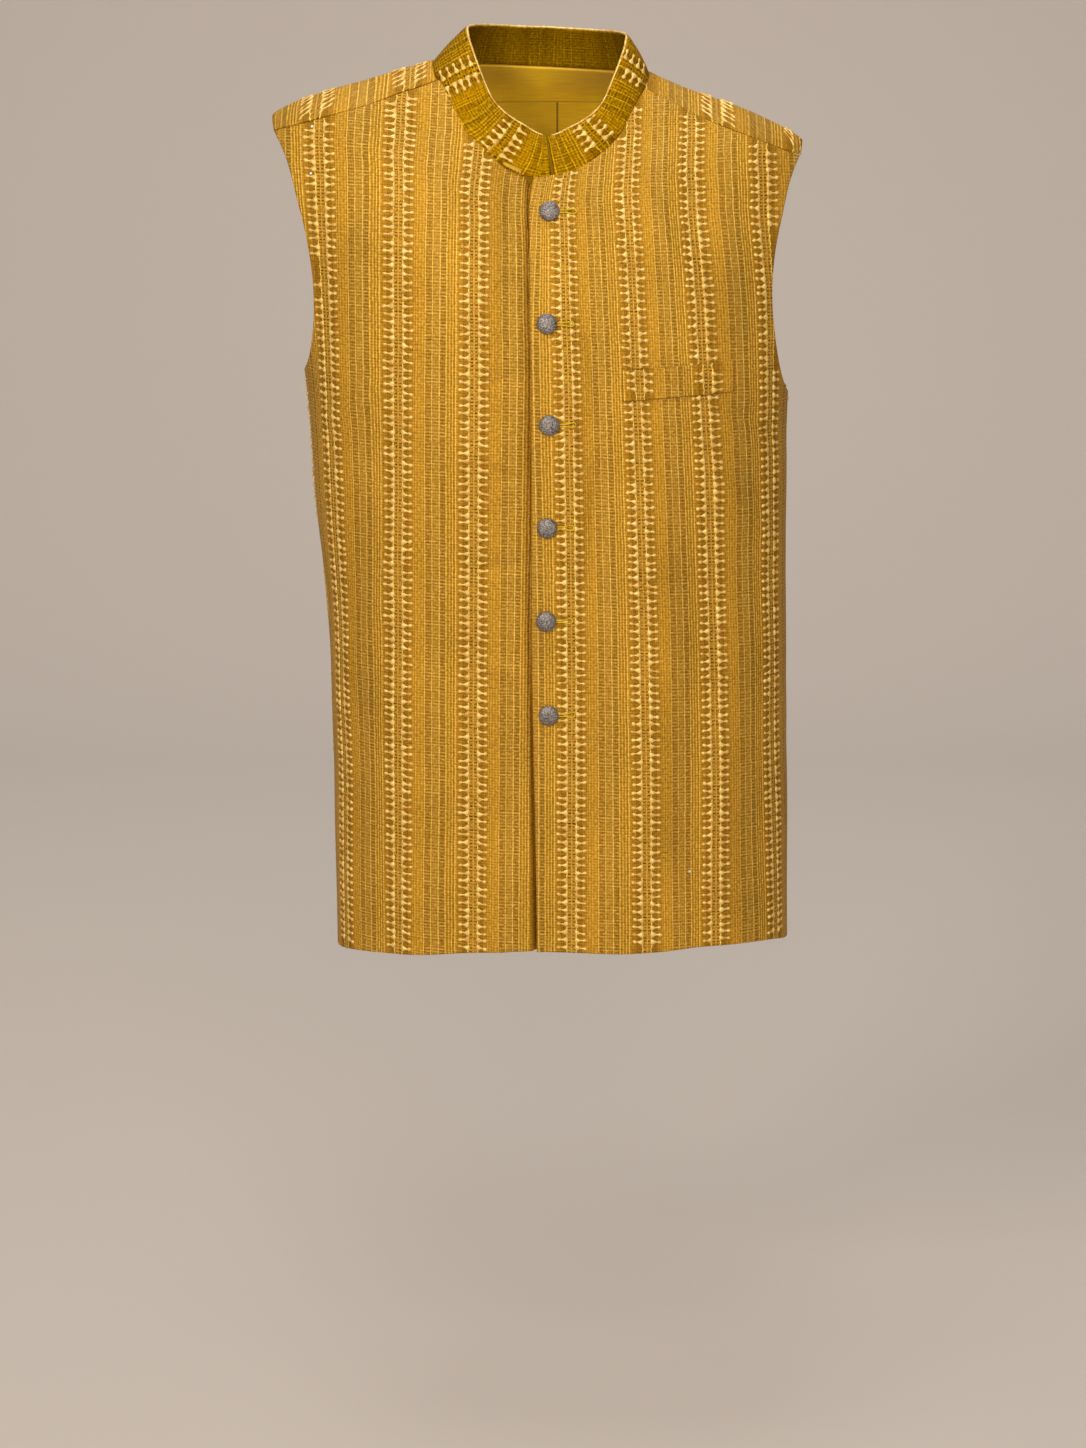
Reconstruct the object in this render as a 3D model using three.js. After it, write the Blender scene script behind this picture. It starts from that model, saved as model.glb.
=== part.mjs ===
// Sleeveless stand-collar vest in gold-thread striped cloth, hollow, as it is worn.
// Millimetres, +Z up, the front faces -Y. The origin lies between the wearer's shoulders, at the height
// where the shoulder seams meet the collar. "Left" and "right" are the wearer's.
import * as THREE from 'three';

// Colours of the cloth, the lining and the buttons
const goldCloth = 0xb98a30;
const silk = 0x9a7a12;
const agedMetal = 0x8f8a88;

// Driving dimensions
const clothWall = 2.0;        // face cloth, canvas and lining together
const seamGap = 0.34;         // front and back stand this far apart at the side seams
const layerGap = 0.35;        // between pieces that lie on each other
const placket = { x: -13, sway: 4.5, swayFrom: -420, swayTo: -720 }; // left front's edge, drifting to +X
const underlap = 34;          // how far the right front runs on beneath that edge
const tuckRun = { start: 33, full: 16, gap: 0.6 }; // the right front sinks between these distances before it
const centreX = 5;            // where the two collar ends meet
const shoulderTilt = Math.tan(THREE.MathUtils.degToRad(2.65)); // the right shoulder hangs higher
const tiltEnd = { from: -250, to: -600 };
const collarWall = 2.6;
const collarSlit = { base: 2.4, top: 0.7 };
const collarClear = { front: 0.6, side: 1.2 };  // between the band and the panels' top edge
const lining = { wall: 0.9, rows: 11 };
const buttonRows = [
  { x: 3.8, z: -99.8 }, { x: 1.0, z: -187.5 }, { x: 1.7, z: -267.7 },
  { x: 0, z: -351 }, { x: -0.7, z: -427.9 }, { x: 1.4, z: -506.3 },
];
const button = { radius: 8.6, rim: 1.3, dome: 4.4, shankRadius: 2.2, shank: 1.2, sides: 14 };
// Its face as shares of the radius and of the dome's height above the rim
const buttonFace = [
  { out: 1, up: -0.25 }, { out: 1, up: 0 }, { out: 0.8, up: 0.55 }, { out: 0.45, up: 0.9 }, { out: 0, up: 1 },
];
const welt = { xInner: 60.6, xOuter: 151.2, zInner: -224.4, zOuter: -219.2, height: 25, wall: 1.4 };

// The body in level sections. level: height below the neck ring, before the neckline's own dip is added.
// width: half width. front, back: depth on each side. power: squareness of the section. lean: shift of
// its middle along X.
const sections = [
  { level: 28, width: 3, front: 30, back: 30, power: 2.0, lean: -5 },
  { level: 0, width: 88, front: 60, back: 62, power: 2.0, lean: -5 },
  { level: -5, width: 111, front: 63, back: 67, power: 1.86, lean: -5.5 },
  { level: -12, width: 144, front: 66, back: 73, power: 1.75, lean: -6.5 },
  { level: -20, width: 177, front: 70, back: 79, power: 1.68, lean: -7 },
  { level: -27, width: 199, front: 72.5, back: 83, power: 1.65, lean: -7.5 },
  { level: -36, width: 217, front: 75.5, back: 87.5, power: 1.63, lean: -8 },
  { level: -50, width: 229, front: 79.5, back: 92, power: 1.65, lean: -8 },
  { level: -75, width: 232, front: 86, back: 99, power: 1.75, lean: -7 },
  { level: -110, width: 226, front: 95, back: 106, power: 1.95, lean: -6 },
  { level: -150, width: 216, front: 104, back: 111, power: 2.12, lean: -4.5 },
  { level: -200, width: 207, front: 112, back: 113.5, power: 2.25, lean: -2 },
  { level: -250, width: 201.5, front: 116.5, back: 112, power: 2.3, lean: 0 },
  { level: -345, width: 197.5, front: 118, back: 103, power: 2.3, lean: 3.5 },
  { level: -440, width: 194.3, front: 117, back: 97, power: 2.3, lean: 8.5 },
  { level: -530, width: 193.3, front: 116, back: 99, power: 2.3, lean: 10.8 },
  { level: -620, width: 193.6, front: 115.5, back: 104, power: 2.3, lean: 11.8 },
  { level: -740, width: 194, front: 115, back: 108, power: 2.3, lean: 14.3 },
];
const ridgeTop = sections[0].level;
const neckSection = sections[1];
const shoulderLevel = -75;    // the widest section
const dipEnd = -240;          // the neckline's dip has faded out here
const dipFade = { middle: 1, side: 11 };
const riseEven = 12;          // from this row of the back downwards the rows lie level
const stripRise = 2.4;        // row where the strips over the shoulders end

// Height of the neck seam round the neck, angle in degrees from centre front to centre back.
const neckRing = [
  { angle: 0, height: -72 }, { angle: 11, height: -69 }, { angle: 22, height: -62 },
  { angle: 34, height: -49.5 }, { angle: 45, height: -37 }, { angle: 55, height: -19 },
  { angle: 63, height: -7.5 }, { angle: 72, height: 0.7 }, { angle: 81, height: 8.5 },
  { angle: 90, height: 14 }, { angle: 120, height: 15.8 }, { angle: 180, height: 16.5 },
];
const seamAngle = 72;         // where the shoulder seam meets the neck seam
// Collar: the top ring, its middle shifted by lean against the neck ring's
const collarTop = { width: 66, front: 45, back: 54, lean: 5, bulge: 1.6 };
const collarTopRing = [
  { angle: 0, height: -41 }, { angle: 9, height: -37 }, { angle: 16, height: -32.5 },
  { angle: 24, height: -28 }, { angle: 34, height: -21 }, { angle: 43, height: -12 },
  { angle: 49, height: -2.5 }, { angle: 55, height: 8 }, { angle: 62, height: 18 },
  { angle: 70, height: 28 }, { angle: 90, height: 43 }, { angle: 180, height: 46.5 },
];

// Shoulder seam, seen from the front: reach from the body's middle, height before the shoulders' tilt
const shoulderSeam = [
  { reach: 83.7, height: 0.7 }, { reach: 96, height: -4.5 }, { reach: 115, height: -11.8 },
  { reach: 131, height: -18.5 }, { reach: 150, height: -25.5 }, { reach: 178, height: -34.7 },
  { reach: 196, height: -40.5 }, { reach: 217, height: -46.5 },
];
// Armhole edge on the front, from the shoulder to the top of the side seam
const armholeFront = [
  { height: -46.5, reach: 217 }, { height: -58, reach: 211 }, { height: -72, reach: 205.5 },
  { height: -97, reach: 199 }, { height: -125, reach: 192.5 }, { height: -160, reach: 188.6 },
  { height: -190, reach: 189.3 }, { height: -212, reach: 192 }, { height: -228, reach: 195.6 },
  { height: -238, reach: 199.4 }, { height: -243, reach: 202.3 },
];
// The same on the back. rise: row number used by backPoint, negative in front of the shoulder's ridge
const armholeBack = [
  { rise: -3.3, reach: 217 }, { rise: -1.7, reach: 218.5 }, { rise: 0, reach: 219 },
  { rise: 2.2, reach: 217.5 }, { rise: 4.6, reach: 212 }, { rise: 7.4, reach: 204.5 },
  { rise: 10.2, reach: 198 }, { rise: 12.7, reach: 194.5 }, { rise: 14.3, reach: 194.8 },
  { rise: 15.1, reach: 197.2 }, { rise: 15.43, reach: 199.6 }, { rise: 15.59, reach: 202.3 },
];
// Hem: height at each section angle, 0 centre front, 90 side, 180 centre back; right side negative
const hem = [
  { angle: -180, height: -722 }, { angle: -90, height: -728 }, { angle: -62, height: -721 },
  { angle: -35, height: -715 }, { angle: -20, height: -711 }, { angle: -4, height: -708 },
  { angle: 12, height: -710 }, { angle: 35, height: -708.5 }, { angle: 62, height: -712 },
  { angle: 90, height: -722 }, { angle: 180, height: -722 },
];
// Soft standing folds of the fronts and the back: depth is outward when positive. A fold grows over
// foldFade.top below its top and shrinks over foldFade.bottom to the share it keeps at its bottom.
const foldFade = { top: 110, bottom: 60, kept: 0.6 };
const folds = [
  { face: 'front', x: 40, spread: 17, top: -150, bottom: -420, depth: -2.2 },
  { face: 'front', x: 74, spread: 22, top: -230, bottom: -720, depth: 1.6 },
  { face: 'front', x: 128, spread: 20, top: -330, bottom: -740, depth: -2.0 },
  { face: 'front', x: -70, spread: 24, top: -300, bottom: -740, depth: -2.0 },
  { face: 'front', x: -118, spread: 22, top: -340, bottom: -740, depth: 1.6 },
  { face: 'back', x: -86, spread: 26, top: -330, bottom: -740, depth: -3.2 },
  { face: 'back', x: -30, spread: 26, top: -420, bottom: -740, depth: 2.0 },
  { face: 'back', x: 58, spread: 28, top: -300, bottom: -740, depth: -3.0 },
  { face: 'back', x: 116, spread: 24, top: -400, bottom: -740, depth: 1.8 },
];

// Grid counts
const frontGrid = { neckColumns: 9, seamColumns: 10, armholeRows: 16, sideRows: 16 };
const backGrid = { stripRows: 5, armholeRows: 16, sideRows: 14, columns: 34, ringColumns: 8 };
const collarGrid = { columns: 52, rows: 4 };
const weltGrid = { columns: 8, rows: 3 };
const halvings = 44;          // of an interval when a level is solved for
const probe = { angle: 0.004, height: 0.6, rise: 0.05, share: 0.01 }; // steps that give a normal

// Smooth curve through a table: cubic Hermite with three-point slopes
function tableAt(rows, key, name, at) {
  const up = rows[rows.length - 1][key] > rows[0][key];
  const list = up ? rows : [...rows].reverse();
  const clamped = Math.min(Math.max(at, list[0][key]), list[list.length - 1][key]);
  let i = 0;
  while (i < list.length - 2 && clamped > list[i + 1][key]) i += 1;
  const slope = (k) => {
    const a = list[Math.max(k - 1, 0)];
    const b = list[Math.min(k + 1, list.length - 1)];
    return (b[name] - a[name]) / (b[key] - a[key]);
  };
  const span = list[i + 1][key] - list[i][key];
  const t = (clamped - list[i][key]) / span;
  const t2 = t * t;
  const t3 = t2 * t;
  return (2 * t3 - 3 * t2 + 1) * list[i][name] + (t3 - 2 * t2 + t) * span * slope(i)
    + (3 * t2 - 2 * t3) * list[i + 1][name] + (t3 - t2) * span * slope(i + 1);
}

const sectionAt = (name, level) => tableAt(sections, 'level', name, level);
const signedPower = (value, power) => Math.sign(value) * Math.abs(value) ** power;
const smooth = (t) => {
  const c = THREE.MathUtils.clamp(t, 0, 1);
  return c * c * (3 - 2 * c);
};

// Level between low and high at which a height that grows with it reaches the target
function solveLevel(heightAt, target, low, high) {
  let a = low;
  let b = high;
  for (let i = 0; i < halvings; i += 1) {
    const mid = (a + b) / 2;
    if (heightAt(mid) < target) a = mid;
    else b = mid;
  }
  return (a + b) / 2;
}

// Level at which the body's half width reaches the given value, on the shoulders
function ridgeLevel(reach) {
  return solveLevel((level) => -sectionAt('width', level), -reach, shoulderLevel, ridgeTop);
}

// How far the neck seam's height still counts at this level and section angle
function neckShare(level, angle) {
  const left = Math.max(1 - level / dipEnd, 0);
  return left ** (dipFade.middle + dipFade.side * Math.sin(angle) ** 2);
}

function neckHeight(angle) {
  const degrees = Math.abs(THREE.MathUtils.radToDeg(angle));
  return tableAt(neckRing, 'angle', 'height', degrees);
}

// Adds the body's lean and the tilt of the shoulders to a point given from the body's middle
function place(x, y, z, level) {
  const worldX = x + sectionAt('lean', level);
  const share = 1 - smooth((z - tiltEnd.from) / (tiltEnd.to - tiltEnd.from));
  return new THREE.Vector3(worldX, y, z - (worldX - neckSection.lean) * shoulderTilt * share);
}

// Point of the body at a level and a section angle: a superellipse whose neck end dips to the front
function bodyPoint(level, angle) {
  const power = 2 / sectionAt('power', level);
  const front = Math.cos(angle) > 0;
  const depth = sectionAt(front ? 'front' : 'back', level);
  const x = sectionAt('width', level) * signedPower(Math.sin(angle), power);
  const y = -depth * signedPower(Math.cos(angle), power);
  const z = level + neckHeight(angle) * neckShare(level, angle);
  return place(x, y, z, level);
}

// Section angle of a reach from the middle, on the front half
function angleOf(reach, level) {
  const share = Math.min(Math.abs(reach) / sectionAt('width', level), 1);
  return Math.sign(reach) * Math.asin(share ** (sectionAt('power', level) / 2));
}

// Front surface by column angle and height
function frontPoint(angle, z) {
  if (z < dipEnd) return bodyPoint(z, angle);
  const wide = Math.min(z, shoulderLevel);
  const power = 2 / sectionAt('power', wide);
  const reach = sectionAt('width', wide) * signedPower(Math.sin(angle), power);
  const heightAt = (level) => {
    const at = angleOf(reach, level);
    return level + neckHeight(at) * neckShare(level, at);
  };
  const top = Math.abs(reach) < neckSection.width ? 0 : ridgeLevel(Math.abs(reach));
  const level = solveLevel(heightAt, z, dipEnd, Math.min(top, 0));
  return bodyPoint(level, angleOf(reach, level));
}

// Column angle of a reach on the front
function frontColumn(reach, z) {
  return angleOf(reach, Math.min(z, shoulderLevel));
}

// Level of the section that a row of the back takes its columns from: never above the widest one
function widestBelow(rise) {
  return rise > 0 ? Math.min(-rise * rise, shoulderLevel) : shoulderLevel;
}

// Back surface by column angle and rise. rise squared is the drop below the shoulder's ridge; it is
// negative on the strip that comes over to the front seam. Lower down the rise sets the level alone.
function backPoint(angle, rise) {
  const wide = widestBelow(rise);
  const reach = sectionAt('width', wide) * signedPower(Math.sin(angle), 2 / sectionAt('power', wide));
  const share = 1 - smooth((Math.abs(rise) - riseEven / 2) / (riseEven / 2));
  const start = share > 0 ? ridgeLevel(Math.abs(reach)) * share : 0;
  const level = start - rise * rise;
  const at = rise >= riseEven ? angle : angleOf(reach, level);
  return bodyPoint(level, rise < 0 ? at : Math.PI - at);
}

function backColumn(reach, rise) {
  return angleOf(reach, widestBelow(rise));
}

// Rise of a front-view height at a reach: used for the shoulder seam and the neck ring
function riseOf(reach, level) {
  return Math.sqrt(Math.max(ridgeLevel(Math.abs(reach)) - level, 0));
}

// Outward normal by small steps of both parameters
function normalOf(surface, u, v, stepU, stepV) {
  const du = surface(u + stepU, v).sub(surface(u - stepU, v));
  const dv = surface(u, v + stepV).sub(surface(u, v - stepV));
  return du.cross(dv).normalize();
}

function foldDepth(face, point) {
  let depth = 0;
  for (const fold of folds) {
    if (fold.face !== face || point.z > fold.top) continue;
    const across = (point.x - fold.x) / fold.spread;
    const along = smooth((fold.top - point.z) / foldFade.top)
      * smooth((point.z - fold.bottom) / foldFade.bottom + foldFade.kept);
    depth += fold.depth * Math.exp(-across * across) * along;
  }
  return depth;
}

function placketEdge(z) {
  const { x, sway, swayFrom, swayTo } = placket;
  return x + sway * smooth((swayFrom - z) / (swayFrom - swayTo));
}

// Closed wall between two grids of points, rows by columns, the first grid outside. A grid may have empty
// places. Each cell is split along the shorter diagonal of the surface that both follow.
function wallBody(outer, inner, surface) {
  const positions = [];
  for (const grid of [outer, inner]) {
    for (const p of grid.flat().filter(Boolean)) positions.push(p.x, p.y, p.z);
  }
  let count = 0;
  const number = surface.map((row) => row.map((spot) => (spot ? count++ : -1)));
  const filled = (j, i) => [[0, 0], [0, 1], [1, 0], [1, 1]].every(([a, b]) => surface[j + a]?.[i + b]);
  const faces = [];
  const at = (side, j, i) => side * count + number[j][i];
  const quad = (a, b, c, d, even = true) => (
    faces.push(...(even ? [a, b, c, a, c, d] : [a, b, d, b, c, d])));
  const cell = (j, i) => {
    const falling = surface[j][i].point.distanceTo(surface[j + 1][i + 1].point);
    const even = falling <= surface[j + 1][i].point.distanceTo(surface[j][i + 1].point);
    quad(at(0, j, i), at(0, j + 1, i), at(0, j + 1, i + 1), at(0, j, i + 1), even);
    quad(at(1, j, i), at(1, j, i + 1), at(1, j + 1, i + 1), at(1, j + 1, i), even);
    const rim = (j0, i0, j1, i1) => quad(at(0, j0, i0), at(0, j1, i1), at(1, j1, i1), at(1, j0, i0));
    if (!filled(j - 1, i)) rim(j, i, j, i + 1);
    if (!filled(j + 1, i)) rim(j + 1, i + 1, j + 1, i);
    if (!filled(j, i - 1)) rim(j + 1, i, j, i);
    if (!filled(j, i + 1)) rim(j, i + 1, j + 1, i + 1);
  };
  number.forEach((row, j) => row.forEach((_, i) => filled(j, i) && cell(j, i)));
  const geometry = new THREE.BufferGeometry();
  geometry.setAttribute('position', new THREE.Float32BufferAttribute(positions, 3));
  geometry.setIndex(faces);
  return geometry;
}

// Points moved along the surface's normal by the depths given for each
function movedGrid(grid, depth) {
  return grid.map((row) => row.map((spot) => (
    spot && spot.point.clone().addScaledVector(spot.normal, depth(spot.point)))));
}

// Four-sided patch of [angle, height] pairs between its edges: rows run from left[j] to right[j], and
// shares says how far across each column lies. hold is how fast a side edge's turns die away inwards.
function blendEdges(top, bottom, left, right, shares, hold) {
  const rows = left.length;
  const last = top.length - 1;
  return left.map((_, j) => {
    const v = j / (rows - 1);
    const turnOff = (edge, i, k) => edge[j][k] - (1 - v) * top[i][k] - v * bottom[i][k];
    return shares.map((u, i) => [0, 1].map((k) => {
      const near = k === 0 ? [(1 - u) ** hold.left, u ** hold.right] : [1 - u, u];
      return (1 - v) * top[i][k] + v * bottom[i][k]
        + near[0] * turnOff(left, 0, k) + near[1] * turnOff(right, last, k);
    }));
  });
}

// Even steps drawn closer together towards the end
const crowding = 0.7;
const crowdEnd = (t) => (1 - crowding) * t + crowding * (1 - (1 - t) ** 2);

const steps = (count) => Array.from({ length: count + 1 }, (_, i) => i / count);

// Front panel in column angle and height. side: +1 wearer's left, -1 wearer's right.
// edgeX gives the world X of its front edge at a height. Its top edge runs up the neck seam and then
// down the shoulder seam, and its outer edge down the armhole and the side seam.
function frontPanel(side, edgeX) {
  const { neckColumns, seamColumns, armholeRows, sideRows } = frontGrid;
  const seamTurn = side * THREE.MathUtils.degToRad(seamAngle);
  const edgeTurn = Math.asin((edgeX(neckRing[0].height) - neckSection.lean) / neckSection.width);
  const neckPoint = (t) => {
    const turn = THREE.MathUtils.lerp(edgeTurn, seamTurn, t);
    const z = neckHeight(turn);
    return [frontColumn(neckSection.width * Math.sin(turn), z), z];
  };
  const seamPoint = (t) => {
    const reach = THREE.MathUtils.lerp(shoulderSeam[0].reach, shoulderSeam.at(-1).reach, t);
    const z = tableAt(shoulderSeam, 'reach', 'height', reach) - layerGap / 2;
    return [frontColumn(side * reach, z), z];
  };
  const top = [...steps(neckColumns).map(neckPoint), ...steps(seamColumns).slice(1).map(seamPoint)];
  const hemAt = (angle) => [angle, tableAt(hem, 'angle', 'height', THREE.MathUtils.radToDeg(angle))];
  const edgePoint = (z) => [frontColumn(edgeX(z) - sectionAt('lean', z), z), z];
  const firstHem = hemAt(edgePoint(tableAt(hem, 'angle', 'height', 0))[0]);
  const seamColumn = top[neckColumns][0];
  const bottom = [
    ...top.slice(0, neckColumns + 1).map(([angle]) => hemAt(THREE.MathUtils.mapLinear(
      angle, top[0][0], seamColumn, firstHem[0], seamColumn))),
    ...steps(seamColumns).slice(1).map((t) => (
      hemAt(THREE.MathUtils.lerp(seamColumn, side * Math.PI / 2, t)))),
  ];
  const armpit = armholeFront.at(-1).height;
  const armholePoint = (t) => {
    const z = THREE.MathUtils.lerp(top.at(-1)[1], armpit, crowdEnd(t));
    const reach = tableAt(armholeFront, 'height', 'reach', z);
    return [t === 1 ? side * Math.PI / 2 : frontColumn(side * reach, z), z];
  };
  const sidePoint = (t) => [side * Math.PI / 2, THREE.MathUtils.lerp(armpit, bottom.at(-1)[1], t)];
  const outer = [...steps(armholeRows).map(armholePoint), ...steps(sideRows).slice(1).map(sidePoint)];
  const inner = [
    ...steps(armholeRows).map((t) => edgePoint(THREE.MathUtils.lerp(top[0][1], armpit, t))),
    ...steps(sideRows).slice(1).map((t) => edgePoint(THREE.MathUtils.lerp(armpit, firstHem[1], t))),
  ];
  inner[0] = top[0];
  outer[0] = top.at(-1);
  const shares = bottom.map(([angle]) => (angle - bottom[0][0]) / (side * Math.PI / 2 - bottom[0][0]));
  const patch = blendEdges(top, bottom, inner, outer, shares, { left: 1, right: 5 });
  return patch.map((row) => row.map(([angle, z]) => {
    const point = frontPoint(angle, z);
    const normal = normalOf(frontPoint, angle, z, probe.angle, probe.height);
    point.y -= seamGap / 2;
    return { point, normal };
  }));
}

// Back panel in column angle and rise: the strips that come forward over the shoulders, with the neck
// between them, and below them the rest
function backPanel() {
  const { stripRows, armholeRows, sideRows, columns, ringColumns } = backGrid;
  const seamColumns = columns / 2 - ringColumns;
  const forward = THREE.MathUtils.degToRad(seamAngle);
  const seamPoint = (t) => {
    const reach = THREE.MathUtils.lerp(shoulderSeam.at(-1).reach, shoulderSeam[0].reach, t);
    const z = tableAt(shoulderSeam, 'reach', 'height', reach) + layerGap / 2;
    const level = solveLevel((at) => {
      const angle = angleOf(reach, at);
      return at + neckHeight(angle) * neckShare(at, angle);
    }, z, dipEnd, Math.min(ridgeLevel(reach), 0));
    return [backColumn(reach, -1), -riseOf(reach, level)];
  };
  const ringPoint = (angle) => {
    const reach = neckSection.width * Math.sin(angle);
    const rise = (angle < Math.PI / 2 ? -1 : 1) * riseOf(reach, 0);
    return [backColumn(reach, rise), rise];
  };
  const armholePoint = (rise) => [backColumn(tableAt(armholeBack, 'rise', 'reach', rise), rise), rise];
  const tipRise = armholeBack[0].rise;
  const neckMeet = ringPoint(Math.PI - forward)[1];
  const meetPoint = (t) => {
    const reach = THREE.MathUtils.lerp(tableAt(armholeBack, 'rise', 'reach', stripRise),
      neckSection.width * Math.sin(forward), t);
    const rise = THREE.MathUtils.lerp(stripRise, neckMeet, t);
    return [backColumn(reach, rise), rise];
  };
  const strip = blendEdges(
    steps(seamColumns).map(seamPoint),
    steps(seamColumns).map(meetPoint),
    steps(stripRows).map((t) => armholePoint(THREE.MathUtils.lerp(tipRise, stripRise, t))),
    steps(stripRows).map((t) => ringPoint(THREE.MathUtils.lerp(forward, Math.PI - forward, t))),
    steps(seamColumns),
    { left: 3, right: 3 },
  );
  const mirror = ([angle, rise]) => [-angle, rise];
  const neckHole = Array(2 * ringColumns - 1).fill(null);
  const stripGrid = strip.slice(0, -1).map((row) => (
    [...row.map(mirror), ...neckHole, ...[...row].reverse()]));

  const halfTop = [...steps(seamColumns).map(meetPoint), ...steps(ringColumns).slice(1).map((t) => (
    ringPoint(THREE.MathUtils.lerp(Math.PI - forward, Math.PI, t))))];
  const top = [...halfTop.map(mirror), ...[...halfTop].reverse().slice(1)];
  const hemRise = (angle) => {
    const degrees = THREE.MathUtils.radToDeg(Math.PI - Math.abs(angle)) * (Math.sign(angle) || 1);
    return Math.sqrt(-tableAt(hem, 'angle', 'height', degrees));
  };
  const bottom = steps(columns).map((t) => {
    const angle = THREE.MathUtils.lerp(-Math.PI / 2, Math.PI / 2, t);
    return [angle, hemRise(angle)];
  });
  const armpitRise = armholeBack.at(-1).rise;
  const edge = (side) => [
    ...steps(armholeRows).map((t) => {
      const [angle, rise] = armholePoint(THREE.MathUtils.lerp(stripRise, armpitRise, crowdEnd(t)));
      return [side * (t === 1 ? Math.PI / 2 : angle), rise];
    }),
    ...steps(sideRows).slice(1).map((t) => {
      const drop = THREE.MathUtils.lerp(armpitRise ** 2, hemRise(side * Math.PI / 2) ** 2, t);
      return [side * Math.PI / 2, Math.sqrt(drop)];
    }),
  ];
  const body = blendEdges(top, bottom, edge(-1), edge(1), steps(columns), { left: 5, right: 5 });
  return [...stripGrid, ...body].map((row) => row.map((spot) => {
    if (!spot) return null;
    const point = backPoint(...spot);
    const normal = normalOf(backPoint, ...spot, probe.angle, probe.rise);
    point.y += seamGap / 2;
    return { point, normal };
  }));
}

// Lining of the upper back, on the back panel's own rows and columns below the neck seam
function liningPart(grid) {
  const half = (grid[0].length - 1) / 2;
  const { stripRows, ringColumns } = backGrid;
  return grid.slice(stripRows, stripRows + lining.rows + 1)
    .map((row) => row.slice(half - ringColumns, half + ringColumns + 1));
}

function collarTopHeight(turn) {
  return tableAt(collarTopRing, 'angle', 'height', Math.abs(THREE.MathUtils.radToDeg(turn)));
}

// Collar band from the neck ring to its own top ring. turn: angle round the neck, share: 0 to 1 upwards
function collarPoint(turn, share) {
  const base = bodyPoint(0, turn);
  const depth = Math.cos(turn) > 0 ? collarTop.front : collarTop.back;
  const x = collarTop.width * Math.sin(turn) + collarTop.lean;
  const top = place(x, -depth * Math.cos(turn), collarTopHeight(turn), 0);
  const out = new THREE.Vector3(Math.sin(turn), -Math.cos(turn), 0);
  return base.lerp(top, share).addScaledVector(out, collarTop.bulge * Math.sin(Math.PI * share));
}

// The band stands clear of the panels' top edge, which is as thick as the cloth where the two meet flat
function collarLift(turn) {
  const side = Math.abs(Math.sin(turn));
  return collarClear.front + (collarClear.side - collarClear.front) * side ** 2;
}

function collarBand() {
  const { columns, rows } = collarGrid;
  const turnOf = (x, width) => Math.asin((x - neckSection.lean) / width);
  return steps(rows).map((v) => {
    const slit = THREE.MathUtils.lerp(collarSlit.base, collarSlit.top, v);
    const width = THREE.MathUtils.lerp(neckSection.width, collarTop.width, v);
    const shift = collarTop.lean * v;
    const first = turnOf(centreX + slit / 2 - shift, width);
    const last = turnOf(centreX - slit / 2 - shift, width) + 2 * Math.PI;
    return steps(columns).map((u) => {
      const turn = THREE.MathUtils.lerp(first, last, u);
      const round = turn > Math.PI ? turn - 2 * Math.PI : turn;
      const start = collarLift(round) / (collarTopHeight(round) - neckHeight(round));
      const share = THREE.MathUtils.lerp(start, 1, v);
      return {
        point: collarPoint(round, share),
        normal: normalOf(collarPoint, round, share, probe.angle, probe.share),
      };
    });
  });
}

// Point of the left front below or beside its edges, seen from the front
function leftFrontAt(x, z) {
  const angle = frontColumn(x - sectionAt('lean', z), z);
  const point = frontPoint(angle, z);
  const normal = normalOf(frontPoint, angle, z, probe.angle, probe.height);
  point.y -= seamGap / 2;
  return { point: point.addScaledVector(normal, foldDepth('front', point)), normal };
}

function pocketWelt() {
  return steps(weltGrid.rows).map((v) => steps(weltGrid.columns).map((u) => {
    const x = THREE.MathUtils.lerp(welt.xInner, welt.xOuter, u);
    const top = THREE.MathUtils.lerp(welt.zInner, welt.zOuter, u);
    const z = top - welt.height * v;
    return leftFrontAt(x, z + shoulderTilt * (x - neckSection.lean));
  }));
}

// Domed metal button on a short shank, its foot at the origin and its face towards +Z
function buttonShape() {
  const { radius, rim, dome, shankRadius, shank, sides } = button;
  const foot = [new THREE.Vector2(0, 0), new THREE.Vector2(shankRadius, 0)];
  const under = [new THREE.Vector2(shankRadius, shank), new THREE.Vector2(radius - rim / 2, shank)];
  const face = buttonFace.map(({ out, up }) => (
    new THREE.Vector2(radius * out, shank + rim + (dome - rim) * up)));
  return new THREE.LatheGeometry([...foot, ...under, ...face], sides).rotateX(Math.PI / 2);
}

const meshes = [];
function addPiece(name, geometry, color, roughness, metalness = 0) {
  const mesh = new THREE.Mesh(geometry, new THREE.MeshStandardMaterial({ color, roughness, metalness }));
  mesh.name = name;
  meshes.push(mesh);
  return mesh;
}

// A wall whose outer face stands above the panel's points by lift and whose inner face lies wall below it
function wallOn(grid, lift, wall) {
  return wallBody(movedGrid(grid, lift), movedGrid(grid, (point) => lift(point) - wall), grid);
}

const mirrored = (grid) => grid.map((row) => [...row].reverse());
const frontFold = (point) => foldDepth('front', point);
const backFold = (point) => foldDepth('back', point);
// The right front sinks below the left one wherever that lies on it
const tuck = (point) => -(clothWall + tuckRun.gap)
  * smooth((point.x - placketEdge(point.z) + tuckRun.start) / (tuckRun.start - tuckRun.full));

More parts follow.
